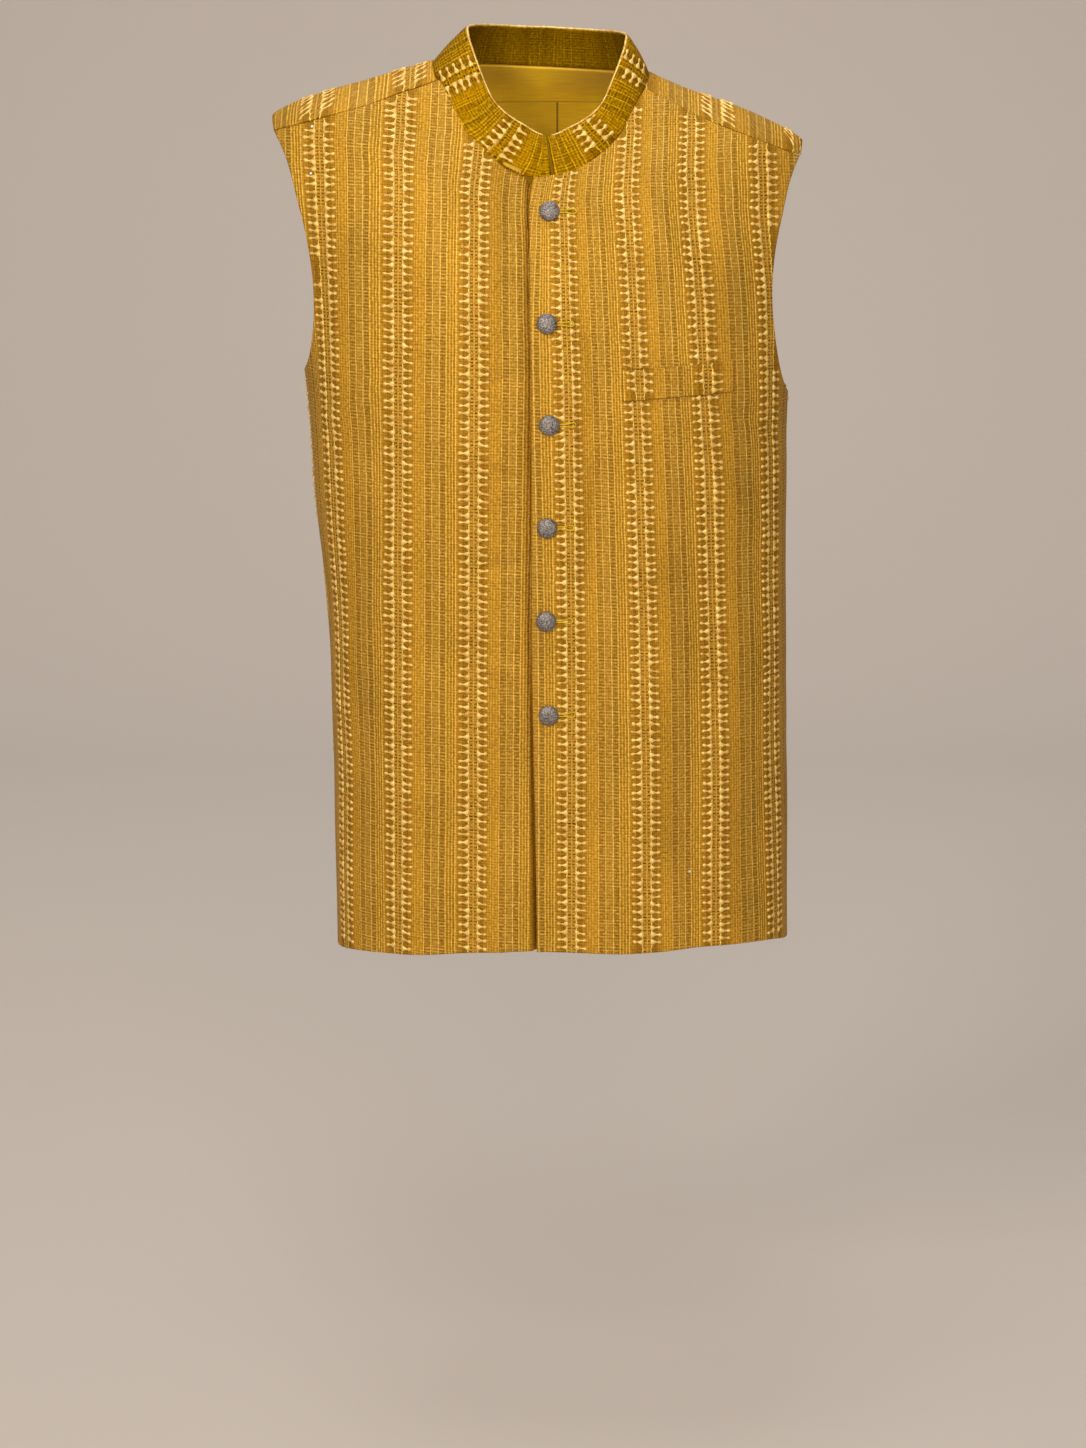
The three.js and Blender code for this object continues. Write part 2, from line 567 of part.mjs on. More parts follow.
addPiece('front_left', wallOn(frontPanel(1, placketEdge), frontFold, clothWall), goldCloth, 0.75);
addPiece('front_right', wallOn(mirrored(frontPanel(-1, (z) => placketEdge(z) + underlap)),
  (point) => frontFold(point) + tuck(point), clothWall), goldCloth, 0.75);
const back = mirrored(backPanel());
addPiece('back', wallOn(back, backFold, clothWall), goldCloth, 0.75);
addPiece('back_lining', wallOn(liningPart(back),
  (point) => backFold(point) - clothWall - layerGap, lining.wall), silk, 0.5);
addPiece('collar', wallOn(mirrored(collarBand()), () => 0, collarWall), goldCloth, 0.75);
addPiece('pocket_welt', wallOn(pocketWelt(), () => layerGap + welt.wall, welt.wall), goldCloth, 0.75);
buttonRows.forEach(({ x, z }, i) => {
  const { point, normal } = leftFrontAt(x, z);
  const mesh = addPiece(`button_${i + 1}`, buttonShape(), agedMetal, 0.45, 0.9);
  mesh.quaternion.setFromUnitVectors(new THREE.Vector3(0, 0, 1), normal);
  mesh.position.copy(point).addScaledVector(normal, layerGap);
});

const vest = new THREE.Group();
vest.add(...meshes);
export default vest;
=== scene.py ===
import math

import bpy
import numpy as np
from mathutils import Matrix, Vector


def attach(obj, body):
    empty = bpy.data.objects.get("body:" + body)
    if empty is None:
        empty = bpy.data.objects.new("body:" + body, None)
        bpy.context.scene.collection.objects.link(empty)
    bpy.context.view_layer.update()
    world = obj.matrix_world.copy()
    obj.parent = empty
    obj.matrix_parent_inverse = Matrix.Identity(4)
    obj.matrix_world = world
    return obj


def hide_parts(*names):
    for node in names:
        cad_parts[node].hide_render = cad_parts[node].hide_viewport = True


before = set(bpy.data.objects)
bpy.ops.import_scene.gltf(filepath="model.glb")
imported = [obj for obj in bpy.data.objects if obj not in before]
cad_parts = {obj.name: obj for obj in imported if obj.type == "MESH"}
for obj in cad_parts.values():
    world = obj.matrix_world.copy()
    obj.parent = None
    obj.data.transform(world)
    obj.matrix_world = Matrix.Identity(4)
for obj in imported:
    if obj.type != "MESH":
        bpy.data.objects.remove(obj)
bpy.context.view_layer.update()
print("frame loaded")

mm = 0.001  # one millimetre in Blender's metres

# The vest's form in millimetres, its tilt as a slope
form = {
    "wall": 2.0, "seamGap": -0.3, "layerGap": 0.35, "creaseStrength": 1.7,
    "tilt": math.tan(math.radians(2.65)), "tiltEnd": (-250, -600),  # the right shoulder hangs higher
    "neckWidth": 88, "neckLean": -5, "ridgeTop": 28, "shoulderLevel": -75,
    "dipEnd": -240, "dipFade": (1, 11),  # where and how the neckline's dip dies out
    "riseEven": 12, "stripRise": 2.4, "seamAngle": math.radians(72),
    # rough sizes of the panels, which space their grids' edge rows
    "panelWidth": 215, "panelLength": 700, "backHalf": 200, "stripLength": 45,
}
# Level sections: their height, half width, depths to front and back, roundness and sideways lean
sectionNames = ("level", "width", "front", "back", "power", "lean")
sectionRows = np.array([
    (28, 3, 30, 30, 2.0, -5), (0, 88, 60, 62, 2.0, -5), (-5, 111, 63, 67, 1.86, -5.5),
    (-12, 144, 66, 73, 1.75, -6.5), (-20, 177, 70, 79, 1.68, -7), (-27, 199, 72.5, 83, 1.65, -7.5),
    (-36, 217, 75.5, 87.5, 1.63, -8), (-50, 229, 79.5, 92, 1.65, -8), (-75, 232, 86, 99, 1.75, -7),
    (-110, 226, 95, 106, 1.95, -6), (-150, 216, 104, 111, 2.12, -4.5),
    (-200, 207, 112, 113.5, 2.25, -2), (-250, 201.5, 116.5, 112, 2.3, 0),
    (-345, 197.5, 118, 103, 2.3, 3.5), (-440, 194.3, 117, 97, 2.3, 8.5),
    (-530, 193.3, 116, 99, 2.3, 10.8), (-620, 193.6, 115.5, 104, 2.3, 11.8),
    (-740, 194, 115, 108, 2.3, 14.3),
], float)
neckRing = np.array([  # angle from centre front, height of the neck seam
    (0, -72), (11, -69), (22, -62), (34, -49.5), (45, -37), (55, -19), (63, -7.5), (72, 0.7),
    (81, 8.5), (90, 14), (120, 15.8), (180, 16.5),
], float)
shoulderSeam = np.array([  # reach, height before the shoulders' tilt
    (83.7, 0.7), (96, -4.5), (115, -11.8), (131, -18.5), (150, -25.5), (178, -34.7), (196, -40.5),
    (217, -46.5),
], float)
armholeFront = np.array([  # height, reach
    (-46.5, 217), (-58, 211), (-72, 205.5), (-97, 199), (-125, 192.5), (-160, 188.6), (-190, 189.3),
    (-212, 192), (-228, 195.6), (-238, 199.4), (-243, 202.3),
], float)
armholeBack = np.array([  # rise, reach
    (-3.3, 217), (-1.7, 218.5), (0, 219), (2.2, 217.5), (4.6, 212), (7.4, 204.5), (10.2, 198),
    (12.7, 194.5), (14.3, 194.8), (15.1, 197.2), (15.43, 199.6), (15.59, 202.3),
], float)
hem = np.array([  # angle, height; right side negative
    (-180, -722), (-90, -728), (-62, -721), (-35, -715), (-20, -711), (-4, -708), (12, -710),
    (35, -708.5), (62, -712), (90, -722), (180, -722),
], float)
# Left front's free edge, how far it sways lower down, how far the right front runs on under it, and how
# far before it the right front's teeth stop
placket = {"x": -13, "sway": 4.5, "swayFrom": -420, "swayTo": -720, "underlap": 34, "toothless": 9}
# How the right front sinks under the left: where that starts and ends, its gap, and the furrow along the edge
tuckRun = {"start": 33, "full": 16, "gap": 0.9, "furrow": 9.0, "furrowAt": 0.2, "furrowSpread": 2.5}
foldFade = {"top": 110, "bottom": 60, "kept": 0.6}  # lengths over which a fold comes and goes, and what stays
folds = np.array([  # face (+1 front, -1 back), x, spread, top, bottom, depth
    (1, 40, 17, -150, -420, -2.2), (1, 74, 22, -230, -720, 1.6), (1, 128, 20, -330, -740, -2.0),
    (1, -70, 24, -300, -740, -2.0), (1, -118, 22, -340, -740, 1.6), (-1, -86, 26, -330, -740, -3.2),
    (-1, -30, 26, -420, -740, 2.0), (-1, 58, 28, -300, -740, -3.0), (-1, 116, 24, -400, -740, 1.8),
], float)


def curveAt(rows, at):
    # smooth curve through a table's rows: a cubic between two rows, each row's slope from its neighbours
    xs, ys = (rows[:, 0], rows[:, 1]) if rows[0, 0] < rows[-1, 0] else (rows[::-1, 0], rows[::-1, 1])
    at = np.clip(at, xs[0], xs[-1])
    k = np.arange(len(xs))
    before, after = np.maximum(k - 1, 0), np.minimum(k + 1, len(xs) - 1)
    slope = (ys[after] - ys[before]) / (xs[after] - xs[before])
    i = np.clip(np.searchsorted(xs, at, side="left") - 1, 0, len(xs) - 2)
    span = xs[i + 1] - xs[i]
    t = (at - xs[i]) / span
    return ((2 * t**3 - 3 * t**2 + 1) * ys[i] + (t**3 - 2 * t**2 + t) * span * slope[i]
            + (3 * t**2 - 2 * t**3) * ys[i + 1] + (t**3 - t**2) * span * slope[i + 1])


# Fine tables of the same curves, which are quick to read
fineLevels = np.arange(-740, form["ridgeTop"] + 0.1, 0.25)
fineSections = {name: curveAt(sectionRows[:, [0, k]], fineLevels) for k, name in enumerate(sectionNames)}
fineAngles = np.linspace(0, 180, 721)
fineNeck = curveAt(neckRing, fineAngles)


def section(name, level):
    # one column of the body's sections at this level
    return np.interp(level, fineLevels, fineSections[name])


def neckHeight(angle):
    # height of the neck seam at this angle from centre front
    return np.interp(np.abs(np.degrees(angle)), fineAngles, fineNeck)


def signedPower(value, power):
    # power of the size, with the value's own sign
    return np.sign(value) * np.abs(value) ** power


def smooth(t):
    # soft step from 0 to 1: three squares less two cubes
    t = np.clip(t, 0, 1)
    return t * t * (3 - 2 * t)


def solveLevel(heightAt, target, low, high, halvings=36):
    # level between low and high at which a height that grows with it reaches the target
    for _ in range(halvings):
        middle = (low + high) / 2
        under = heightAt(middle) < target
        low, high = np.where(under, middle, low), np.where(under, high, middle)
    return (low + high) / 2


def ridgeLevel(reach):
    # level at which the body's half width is the reach, on the shoulders
    reach = np.abs(reach)
    top = np.full(reach.shape, float(form["ridgeTop"]))
    return solveLevel(lambda at: -section("width", at), -reach, top * 0 + form["shoulderLevel"], top)


def dip(angle, level):
    # what the neckline's dip adds at this level and section angle
    left = np.maximum(1 - level / form["dipEnd"], 0)
    power = form["dipFade"][0] + form["dipFade"][1] * np.sin(angle) ** 2
    return neckHeight(angle) * left**power


def placed(x, y, z, level):
    # adds the body's lean and the shoulders' tilt
    worldX = x + section("lean", level)
    start, end = form["tiltEnd"]
    share = 1 - smooth((z - start) / (end - start))
    return np.stack([worldX, y, z - (worldX - form["neckLean"]) * form["tilt"] * share], axis=-1)


def bodyPoint(level, angle):
    # superellipse: x goes with a power of the sine, y with a power of the cosine
    power = 2 / section("power", level)
    depth = np.where(np.cos(angle) > 0, section("front", level), section("back", level))
    x = section("width", level) * signedPower(np.sin(angle), power)
    y = -depth * signedPower(np.cos(angle), power)
    return placed(x, y, level + dip(angle, level), level)


def angleOf(reach, level):
    # the section angle at which the body's half width is the reach
    share = np.minimum(np.abs(reach) / section("width", level), 1)
    return np.sign(reach) * np.arcsin(share ** (section("power", level) / 2))


def frontColumn(reach, z):
    # column angle on the front: its width is that of the shoulders above their level
    return angleOf(reach, np.minimum(z, form["shoulderLevel"]))


def frontPoint(angle, z):
    # the front by column angle and height
    angle, z = np.broadcast_arrays(np.asarray(angle, float), np.asarray(z, float))
    wide = np.minimum(z, form["shoulderLevel"])
    reach = section("width", wide) * signedPower(np.sin(angle), 2 / section("power", wide))
    top = np.where(np.abs(reach) < form["neckWidth"], 0, np.minimum(ridgeLevel(reach), 0))
    low = np.full(z.shape, float(form["dipEnd"]))
    level = solveLevel(lambda at: at + dip(angleOf(reach, at), at), z, low, top)
    level = np.where(z < form["dipEnd"], z, level)
    return bodyPoint(level, np.where(z < form["dipEnd"], angle, angleOf(reach, level)))


def widestBelow(rise):
    # level whose width the back's columns have at this rise
    return np.where(rise > 0, np.minimum(-rise * rise, form["shoulderLevel"]), form["shoulderLevel"])


def backColumn(reach, rise):
    # column angle on the back
    return angleOf(reach, widestBelow(rise))


def backPoint(angle, rise):
    # the back by column angle and rise: its square is the drop below the shoulder's ridge
    angle, rise = np.broadcast_arrays(np.asarray(angle, float), np.asarray(rise, float))
    wide = widestBelow(rise)
    reach = section("width", wide) * signedPower(np.sin(angle), 2 / section("power", wide))
    half = form["riseEven"] / 2
    level = ridgeLevel(reach) * (1 - smooth((np.abs(rise) - half) / half)) - rise * rise
    turn = np.where(rise >= form["riseEven"], angle, angleOf(reach, level))
    return bodyPoint(level, np.where(rise < 0, turn, math.pi - turn))


def riseOf(reach, level):
    # root of the drop from the shoulder's ridge to this level
    return np.sqrt(np.maximum(ridgeLevel(reach) - level, 0))


def placketEdge(z):
    # x of the left front's free edge: upright, then swaying softly over the lower body
    share = (placket["swayFrom"] - z) / (placket["swayFrom"] - placket["swayTo"])
    return placket["x"] + placket["sway"] * smooth(share)


def standingFolds(face, points):
    # each fold is a bell across its x, which fades in below its top and out towards its bottom
    depth = np.zeros(points.shape[:-1])
    for side, x, spread, top, bottom, height in folds:
        if side != face:
            continue
        along = (smooth((top - points[..., 2]) / foldFade["top"])
                 * smooth((points[..., 2] - bottom) / foldFade["bottom"] + foldFade["kept"]))
        depth += height * np.exp(-(((points[..., 0] - x) / spread) ** 2)) * along * (points[..., 2] <= top)
    return depth


# Small creases: face (+1 front, -1 back), x, z, half width, half height, turn in degrees, depth
creases = np.array([
    (1, 43, -285, 95, 9, 87, -1.5), (1, 30, -330, 60, 7, 80, 0.9), (1, -34, -148, 15, 5, 24, 0.9),
    (1, -38, -300, 20, 5, -20, 0.8), (1, -36, -232, 22, 6, 12, -0.9),
    (1, -40, -384, 24, 6, 8, -1.0), (1, -32, -322, 18, 5, 26, 0.7), (1, -36, -470, 22, 6, -14, 0.8),
    (1, 52, -128, 34, 8, -58, 1.1), (1, 36, -208, 40, 7, -78, -1.2), (1, 34, -300, 46, 8, -84, -1.0),
    (1, 92, -110, 60, 10, -64, 0.9), (1, -92, -118, 60, 10, 62, 0.9), (1, -150, -250, 40, 9, 34, 1.0),
    (1, 158, -262, 42, 9, -34, -1.1), (1, 150, -330, 60, 12, -52, 0.9), (1, -140, -420, 80, 12, 70, 0.9),
    (1, 20, -560, 70, 9, -84, 0.9), (1, -60, -600, 80, 12, 82, -0.9), (1, 92, -590, 90, 12, -86, 0.9),
    (-1, -120, -250, 60, 11, -38, 1.3), (-1, 118, -262, 62, 11, 36, 1.3), (-1, 60, -180, 80, 12, 66, 0.9),
    (-1, -66, -170, 80, 12, -68, 0.9), (-1, 0, -330, 60, 10, 84, 1.1), (-1, -46, -380, 70, 10, -14, -1.1),
    (-1, 62, -372, 70, 10, 12, -1.1), (-1, 20, -540, 90, 13, 84, 1.0),
], float)


def smallCreases(face, points):
    # each crease is a soft ridge or trough: a bell across it and a wider bell along it
    depth = np.zeros(points.shape[:-1])
    for side, x, z, length, width, turn, height in creases:
        if side != face:
            continue
        dx, dz = points[..., 0] - x, points[..., 2] - z
        c, s = math.cos(math.radians(turn)), math.sin(math.radians(turn))
        along, across = (dx * c + dz * s) / length, (dz * c - dx * s) / width
        depth += height * np.exp(-along**2 - across**2)
    return depth * form["creaseStrength"]


# Waves of the cloth: how many, their lengths and heights in millimetres, how they stretch along x and z, and
# the seeds of their random draws
waves = {"count": 7, "length": (45, 130), "height": (0.12, 0.32), "stretch": (1.6, 0.6),
         "frontSeed": 3, "backSeed": 5, "collarSeed": 8}


def unevenness(points, seed):
    # long waves of low height, which keep a broad panel from looking pressed
    rng = np.random.default_rng(seed)
    depth = np.zeros(points.shape[:-1])
    alongX, alongZ = waves["stretch"]
    for _ in range(waves["count"]):
        turn, phase = rng.uniform(0, 2 * math.pi, 2)
        length, height = rng.uniform(*waves["length"]), rng.uniform(*waves["height"])
        wave = points[..., 0] * math.cos(turn) * alongX + points[..., 2] * math.sin(turn) * alongZ
        depth += height * np.sin(2 * math.pi * wave / length + phase)
    return depth


def blendEdges(top, bottom, left, right, across, down, hold):
    # a patch between four edges: straight between top and bottom, plus what the side edges turn off it,
    # which dies out the sooner the higher the hold
    v, u = down[:, None, None], across[None, :, None]
    patch = (1 - v) * top[None] + v * bottom[None]
    turnLeft, turnRight = left[:, None] - patch[:, :1], right[:, None] - patch[:, -1:]
    nearLeft = np.concatenate([(1 - u) ** hold[0], 1 - u], axis=2)
    nearRight = np.concatenate([u ** hold[1], u], axis=2)
    return patch + nearLeft * turnLeft + nearRight * turnRight


def crowdEnd(t, crowding=0.88):
    # share that runs closer together towards its end, as a parabola does
    return (1 - crowding) * t + crowding * (1 - (1 - t) ** 2)


def edgeShares(count, length, close=(0, 0.5, 1.1, 2.0, 3.4)):
    # shares from 0 to 1, even in the middle and closer together in the last millimetres at both ends
    near = np.array(close) / length
    middle = np.linspace(near[-1], 1 - near[-1], count)
    return np.concatenate([near[:-1], middle, 1 - near[-2::-1]])


def pairs(*values):
    # stacks values of any matching shapes as the last axis
    return np.stack(np.broadcast_arrays(*values), axis=-1)


def hemAt(angle):
    # height of the hem at this section angle
    return curveAt(hem, np.degrees(angle))


def frontPanel(side, edgeX, columns, rows, armpitShare=0.36):
    # grid of (column angle, height): the top edge runs up the neck seam and down the shoulder seam
    across, down = edgeShares(columns, form["panelWidth"]), edgeShares(rows, form["panelLength"])
    split = 0.43  # share of the columns that end at the neck seam
    neckWidth, seamTurn = form["neckWidth"], side * form["seamAngle"]
    edgeTurn = math.asin((edgeX(neckRing[0, 1]) - form["neckLean"]) / neckWidth)
    neck = across[across <= split] / split
    turn = edgeTurn + (seamTurn - edgeTurn) * neck
    neckPart = pairs(frontColumn(neckWidth * np.sin(turn), neckHeight(turn)), neckHeight(turn))
    seam = (across[across > split] - split) / (1 - split)
    reach = shoulderSeam[0, 0] + (shoulderSeam[-1, 0] - shoulderSeam[0, 0]) * seam
    z = curveAt(shoulderSeam, reach) - form["layerGap"] / 2
    top = np.concatenate([neckPart, pairs(frontColumn(side * reach, z), z)])

    def edgePoint(z):
        # point of the free edge at this height
        return pairs(frontColumn(edgeX(z) - section("lean", z), z), z)

    firstHem = edgePoint(curveAt(hem, np.array(0.0)))[0]
    angles = firstHem + (side * math.pi / 2 - firstHem) * across
    bottom = pairs(angles, hemAt(angles))
    left = edgePoint(top[0, 1] + (bottom[0, 1] - top[0, 1]) * down)
    armpit = armholeFront[-1, 0]
    hole = np.minimum(down / armpitShare, 1)
    below = np.maximum((down - armpitShare) / (1 - armpitShare), 0)
    z = np.where(down < armpitShare, top[-1, 1] + (armpit - top[-1, 1]) * crowdEnd(hole),
                 armpit + (bottom[-1, 1] - armpit) * below)
    angle = np.where(down < armpitShare, frontColumn(side * curveAt(armholeFront, z), z), side * math.pi / 2)
    right = pairs(angle, z)
    left[0], right[0] = top[0], top[-1]
    return blendEdges(top, bottom, left, right, across, down, (1, 5))


def backPanel(columns, stripRows, rows, armpitShare=0.42):
    # grids of (column angle, rise): the whole back below the neck, and the strips over the shoulders
    forward = form["seamAngle"]
    half = edgeShares(columns // 2, form["backHalf"])
    split = 0.56  # share of half the columns that end on the shoulder
    seam, ring = half[half <= split] / split, (half[half > split] - split) / (1 - split)

    def ringPoint(angle):
        # point of the neck seam at this angle
        reach = form["neckWidth"] * np.sin(angle)
        rise = np.where(angle < math.pi / 2, -1, 1) * riseOf(reach, 0)
        return pairs(backColumn(reach, rise), rise)

    def armholePoint(rise):
        # point of the armhole's edge at this rise
        return pairs(backColumn(curveAt(armholeBack, rise), rise), rise)

    reach = shoulderSeam[-1, 0] + (shoulderSeam[0, 0] - shoulderSeam[-1, 0]) * seam
    z = curveAt(shoulderSeam, reach) + form["layerGap"] / 2
    low, high = np.full(z.shape, float(form["dipEnd"])), np.minimum(ridgeLevel(reach), 0)
    level = solveLevel(lambda at: at + dip(angleOf(reach, at), at), z, low, high)
    seamLine = pairs(backColumn(reach, -1.0), -riseOf(reach, level))
    stripRise = form["stripRise"]
    neckMeet = ringPoint(np.array(math.pi - forward))
    meetReach = curveAt(armholeBack, np.array(stripRise))
    meetReach = meetReach + (form["neckWidth"] * math.sin(forward) - meetReach) * seam
    meetRise = stripRise + (neckMeet[1] - stripRise) * seam
    meetLine = pairs(backColumn(meetReach, meetRise), meetRise)
    stripDown = edgeShares(stripRows, form["stripLength"])
    stripDown = np.append(stripDown[stripDown < 0.9], 1.0)  # not crowded where the cloth goes on
    tipRise = armholeBack[0, 0]
    strip = blendEdges(seamLine, meetLine, armholePoint(tipRise + (stripRise - tipRise) * stripDown),
                       ringPoint(forward + (math.pi - 2 * forward) * stripDown), seam, stripDown, (3, 3))

    halfTop = np.concatenate([meetLine, ringPoint(math.pi - forward + forward * ring)])
    flip = np.array([-1, 1])
    top = np.concatenate([halfTop[:-1] * flip, halfTop[-1:], halfTop[-2::-1]])
    shares = np.concatenate([half / 2, 1 - half[-2::-1] / 2])
    angles = math.pi * (shares - 0.5)

    def hemRise(angle):
        # the rise at which the hem lies
        return np.sqrt(-curveAt(hem, np.degrees(math.pi - np.abs(angle)) * np.where(angle < 0, -1, 1)))

    bottom = pairs(angles, hemRise(angles))
    hemRows = 1 - np.array([3.4, 2, 1.1, 0.5, 0]) / form["panelLength"]
    down = np.concatenate([np.linspace(0, 0.99, rows, endpoint=False), hemRows])
    armpit = armholeBack[-1, 0]
    hole = np.minimum(down / armpitShare, 1)
    below = np.maximum((down - armpitShare) / (1 - armpitShare), 0)

    def edge(side):
        # armhole and side seam of one side
        rise = stripRise + (armpit - stripRise) * crowdEnd(hole)
        last = hemRise(np.array(side * math.pi / 2))
        rise = np.where(down < armpitShare, rise, np.sqrt(armpit**2 + (last**2 - armpit**2) * below))
        angle = np.where(down < armpitShare, armholePoint(rise)[:, 0], math.pi / 2)
        return pairs(side * angle, rise)

    body = blendEdges(top, bottom, edge(-1), edge(1), shares, down, (5, 5))
    hole = np.full((len(strip) - 1, len(shares) - 2 * len(seam), 2), np.nan)
    strips = np.concatenate([strip[:-1] * flip, hole, strip[:-1, ::-1]], axis=1)
    return np.concatenate([strips, body])


def gridNormals(points, facing):
    # cross product of the grid's two directions, turned outwards
    filled = np.where(np.isnan(points), 0, points)
    normal = np.cross(np.gradient(filled, axis=1), np.gradient(filled, axis=0)) * facing
    return normal / np.maximum(np.linalg.norm(normal, axis=-1, keepdims=True), 1e-9)


def edgeDistance(points, present):
    # shortest way along the grid's lines to an edge, in one sweep for each of the four directions
    nearest = np.full(present.shape, 1e9)
    for axis in (0, 1):
        for step in (1, -1):
            line, ok = np.moveaxis(points, axis, 0)[::step], np.moveaxis(present, axis, 0)[::step]
            length = np.linalg.norm(np.diff(line, axis=0), axis=2)
            run = np.zeros(ok.shape)
            for k in range(1, len(run)):
                run[k] = np.where(ok[k - 1] & ok[k], run[k - 1] + length[k - 1], 0)
            nearest = np.minimum(nearest, np.moveaxis(run[::step], 0, axis))
    cells = present[:-1, :-1] & present[1:, :-1] & present[:-1, 1:] & present[1:, 1:]
    round4 = np.zeros(present.shape, int)
    for a in (0, 1):
        for b in (0, 1):
            round4[a:a + cells.shape[0], b:b + cells.shape[1]] += cells
    return np.where(round4 < 4, 0, nearest), cells


def makeMesh(name, points, faces, materials, slots=None, uv=None, smoothFaces=True):
    # a piece from points in millimetres, at the origin, with its pattern coordinates in the layer "cloth"
    mesh = bpy.data.meshes.new(name)
    mesh.from_pydata((points.reshape(-1, 3) * mm).tolist(), [], faces)
    for material in materials:
        mesh.materials.append(material)
    if slots is not None:
        mesh.polygons.foreach_set("material_index", slots)
    mesh.polygons.foreach_set("use_smooth", np.full(len(faces), smoothFaces))
    if uv is not None:
        layer = mesh.uv_layers.new(name="cloth")
        corners = np.zeros(len(mesh.loops), int)
        mesh.loops.foreach_get("vertex_index", corners)
        layer.data.foreach_set("uv", uv[corners].ravel())
    mesh.update()
    piece = bpy.data.objects.new(name, mesh)
    bpy.context.scene.collection.objects.link(piece)
    return piece


def loft(rings, around):
    # faces that join each ring of points to the next, and a cap on either end
    k, j = (index.ravel() for index in np.meshgrid(np.arange(rings - 1), np.arange(around), indexing="ij"))
    here, ahead = k * around, (k + 1) * around
    after = (j + 1) % around
    sides = np.stack([here + j, here + after, ahead + after, ahead + j], axis=1)
    caps = np.stack([np.arange(around)[::-1], (rings - 1) * around + np.arange(around)])
    return sides, caps


shells = {}  # each cloth piece's outer grid, for what is sewn on it
rim = {"width": 9, "fade": 1.5}  # millimetres from the edge within which stitched cloth swells


def clothShell(name, points, normals, lift, wall, uv, facing, materials, rollRadius=1.5, swell=0.0):
    # a wall with turned edges: outer and inner grids roll towards each other as a quarter circle and meet
    present = ~np.isnan(points[..., 0])
    points = np.where(present[..., None], points, 0)
    distance, cells = edgeDistance(points, present)
    near = np.clip(1 - distance / rollRadius, 0, 1)
    roll = wall / 2 * (1 - np.sqrt(1 - near**2))
    thicker = swell * smooth((rim["width"] - distance) / rim["fade"]) * (1 - near)
    lift = np.where(present, lift, 0)
    outer = points + normals * (lift - roll + thicker)[..., None]
    inner = points + normals * (lift - wall + roll)[..., None]
    number = np.cumsum(present.ravel()).reshape(present.shape) - 1
    inside = present & (distance > 0)
    innerCount = np.cumsum(inside.ravel()).reshape(present.shape)
    innerNumber = np.where(inside, innerCount - 1 + present.sum(), number)
    j, i = np.nonzero(cells)

    def quads(index, turned):
        # a face for each cell whose four corners are present
        corners = [index[j, i], index[j + 1, i], index[j + 1, i + 1], index[j, i + 1]]
        return np.stack(corners[::-1] if turned else corners, axis=1)

    faces = np.concatenate([quads(number, facing > 0), quads(innerNumber, facing < 0)])
    slots = np.concatenate([np.zeros(len(j), int), np.ones(len(j), int)])
    vertices = np.concatenate([outer[present], inner[inside]])
    flat = np.concatenate([uv[present], uv[inside]])
    shells[name] = {"outer": outer, "normals": normals, "uv": uv / mm, "distance": distance}
    return makeMesh(name, vertices, faces.tolist(), materials, slots, flat)


def clothMap(surface, us, vs, startRow):
    # lengths on the cloth in millimetres: across along one even row, and down each column from that row
    points = surface(us[None], vs[:, None])
    down = np.pad(np.linalg.norm(np.diff(points, axis=0), axis=2).cumsum(axis=0), ((1, 0), (0, 0)))
    even = np.abs(vs - startRow).argmin()
    across = np.pad(np.linalg.norm(np.diff(points[even], axis=0), axis=1).cumsum(), (1, 0))
    return {"us": us, "vs": vs, "across": across, "down": down - down[even][None]}


def readGrid(grid, row, column):
    # bilinear between the four nearest points of a grid
    row = np.clip(np.nan_to_num(row), 0, grid.shape[0] - 1.001)
    column = np.clip(np.nan_to_num(column), 0, grid.shape[1] - 1.001)
    j, i = row.astype(int), column.astype(int)
    b, a = (row - j)[..., None], (column - i)[..., None]
    return ((grid[j, i] * (1 - a) + grid[j, i + 1] * a) * (1 - b)
            + (grid[j + 1, i] * (1 - a) + grid[j + 1, i + 1] * a) * b)


def readMap(table, u, v):
    # length down the cloth at a column angle and a height or rise
    us, vs = table["us"], table["vs"]
    row, column = (v - vs[0]) / (vs[1] - vs[0]), (u - us[0]) / (us[1] - us[0])
    return readGrid(table["down"][..., None], row, column)[..., 0]


pattern = {"repeat": 62.5, "pitch": 6.4}  # millimetres of one repeat of the stripes, and of one comb tooth


def colour(text):
    # sRGB hex to linear light
    value = np.array([int(text[k:k + 2], 16) / 255 for k in (1, 3, 5)])
    return (*np.where(value <= 0.04045, value / 12.92, ((value + 0.055) / 1.055) ** 2.4), 1.0)


def add(tree, kind, inputs=(), output=0, stops=None, fade="LINEAR", **settings):
    # adds a node, sets it, links or fills its inputs, in order or by name, and returns one of its outputs
    node = tree.nodes.new("ShaderNode" + kind)
    for key, value in settings.items():
        setattr(node, key, value)
    if stops:
        ramp = node.color_ramp
        ramp.interpolation = fade
        for place, _ in stops[2:]:
            ramp.elements.new(place)
        for element, (place, tone) in zip(ramp.elements, sorted(stops, key=lambda stop: stop[0])):
            element.position = place
            element.color = colour(tone) if isinstance(tone, str) else (*tone, 1)
    for key, value in (inputs if isinstance(inputs, dict) else dict(enumerate(inputs))).items():
        if isinstance(value, bpy.types.NodeSocket):
            tree.links.new(value, node.inputs[key])
        else:
            node.inputs[key].default_value = value
    return node.outputs[output]


def newMaterial(name):
    # a material with its node tree and its shader
    material = bpy.data.materials.new(name)
    material.use_nodes = True
    shader = material.node_tree.nodes["Principled BSDF"]
    return material, material.node_tree, shader


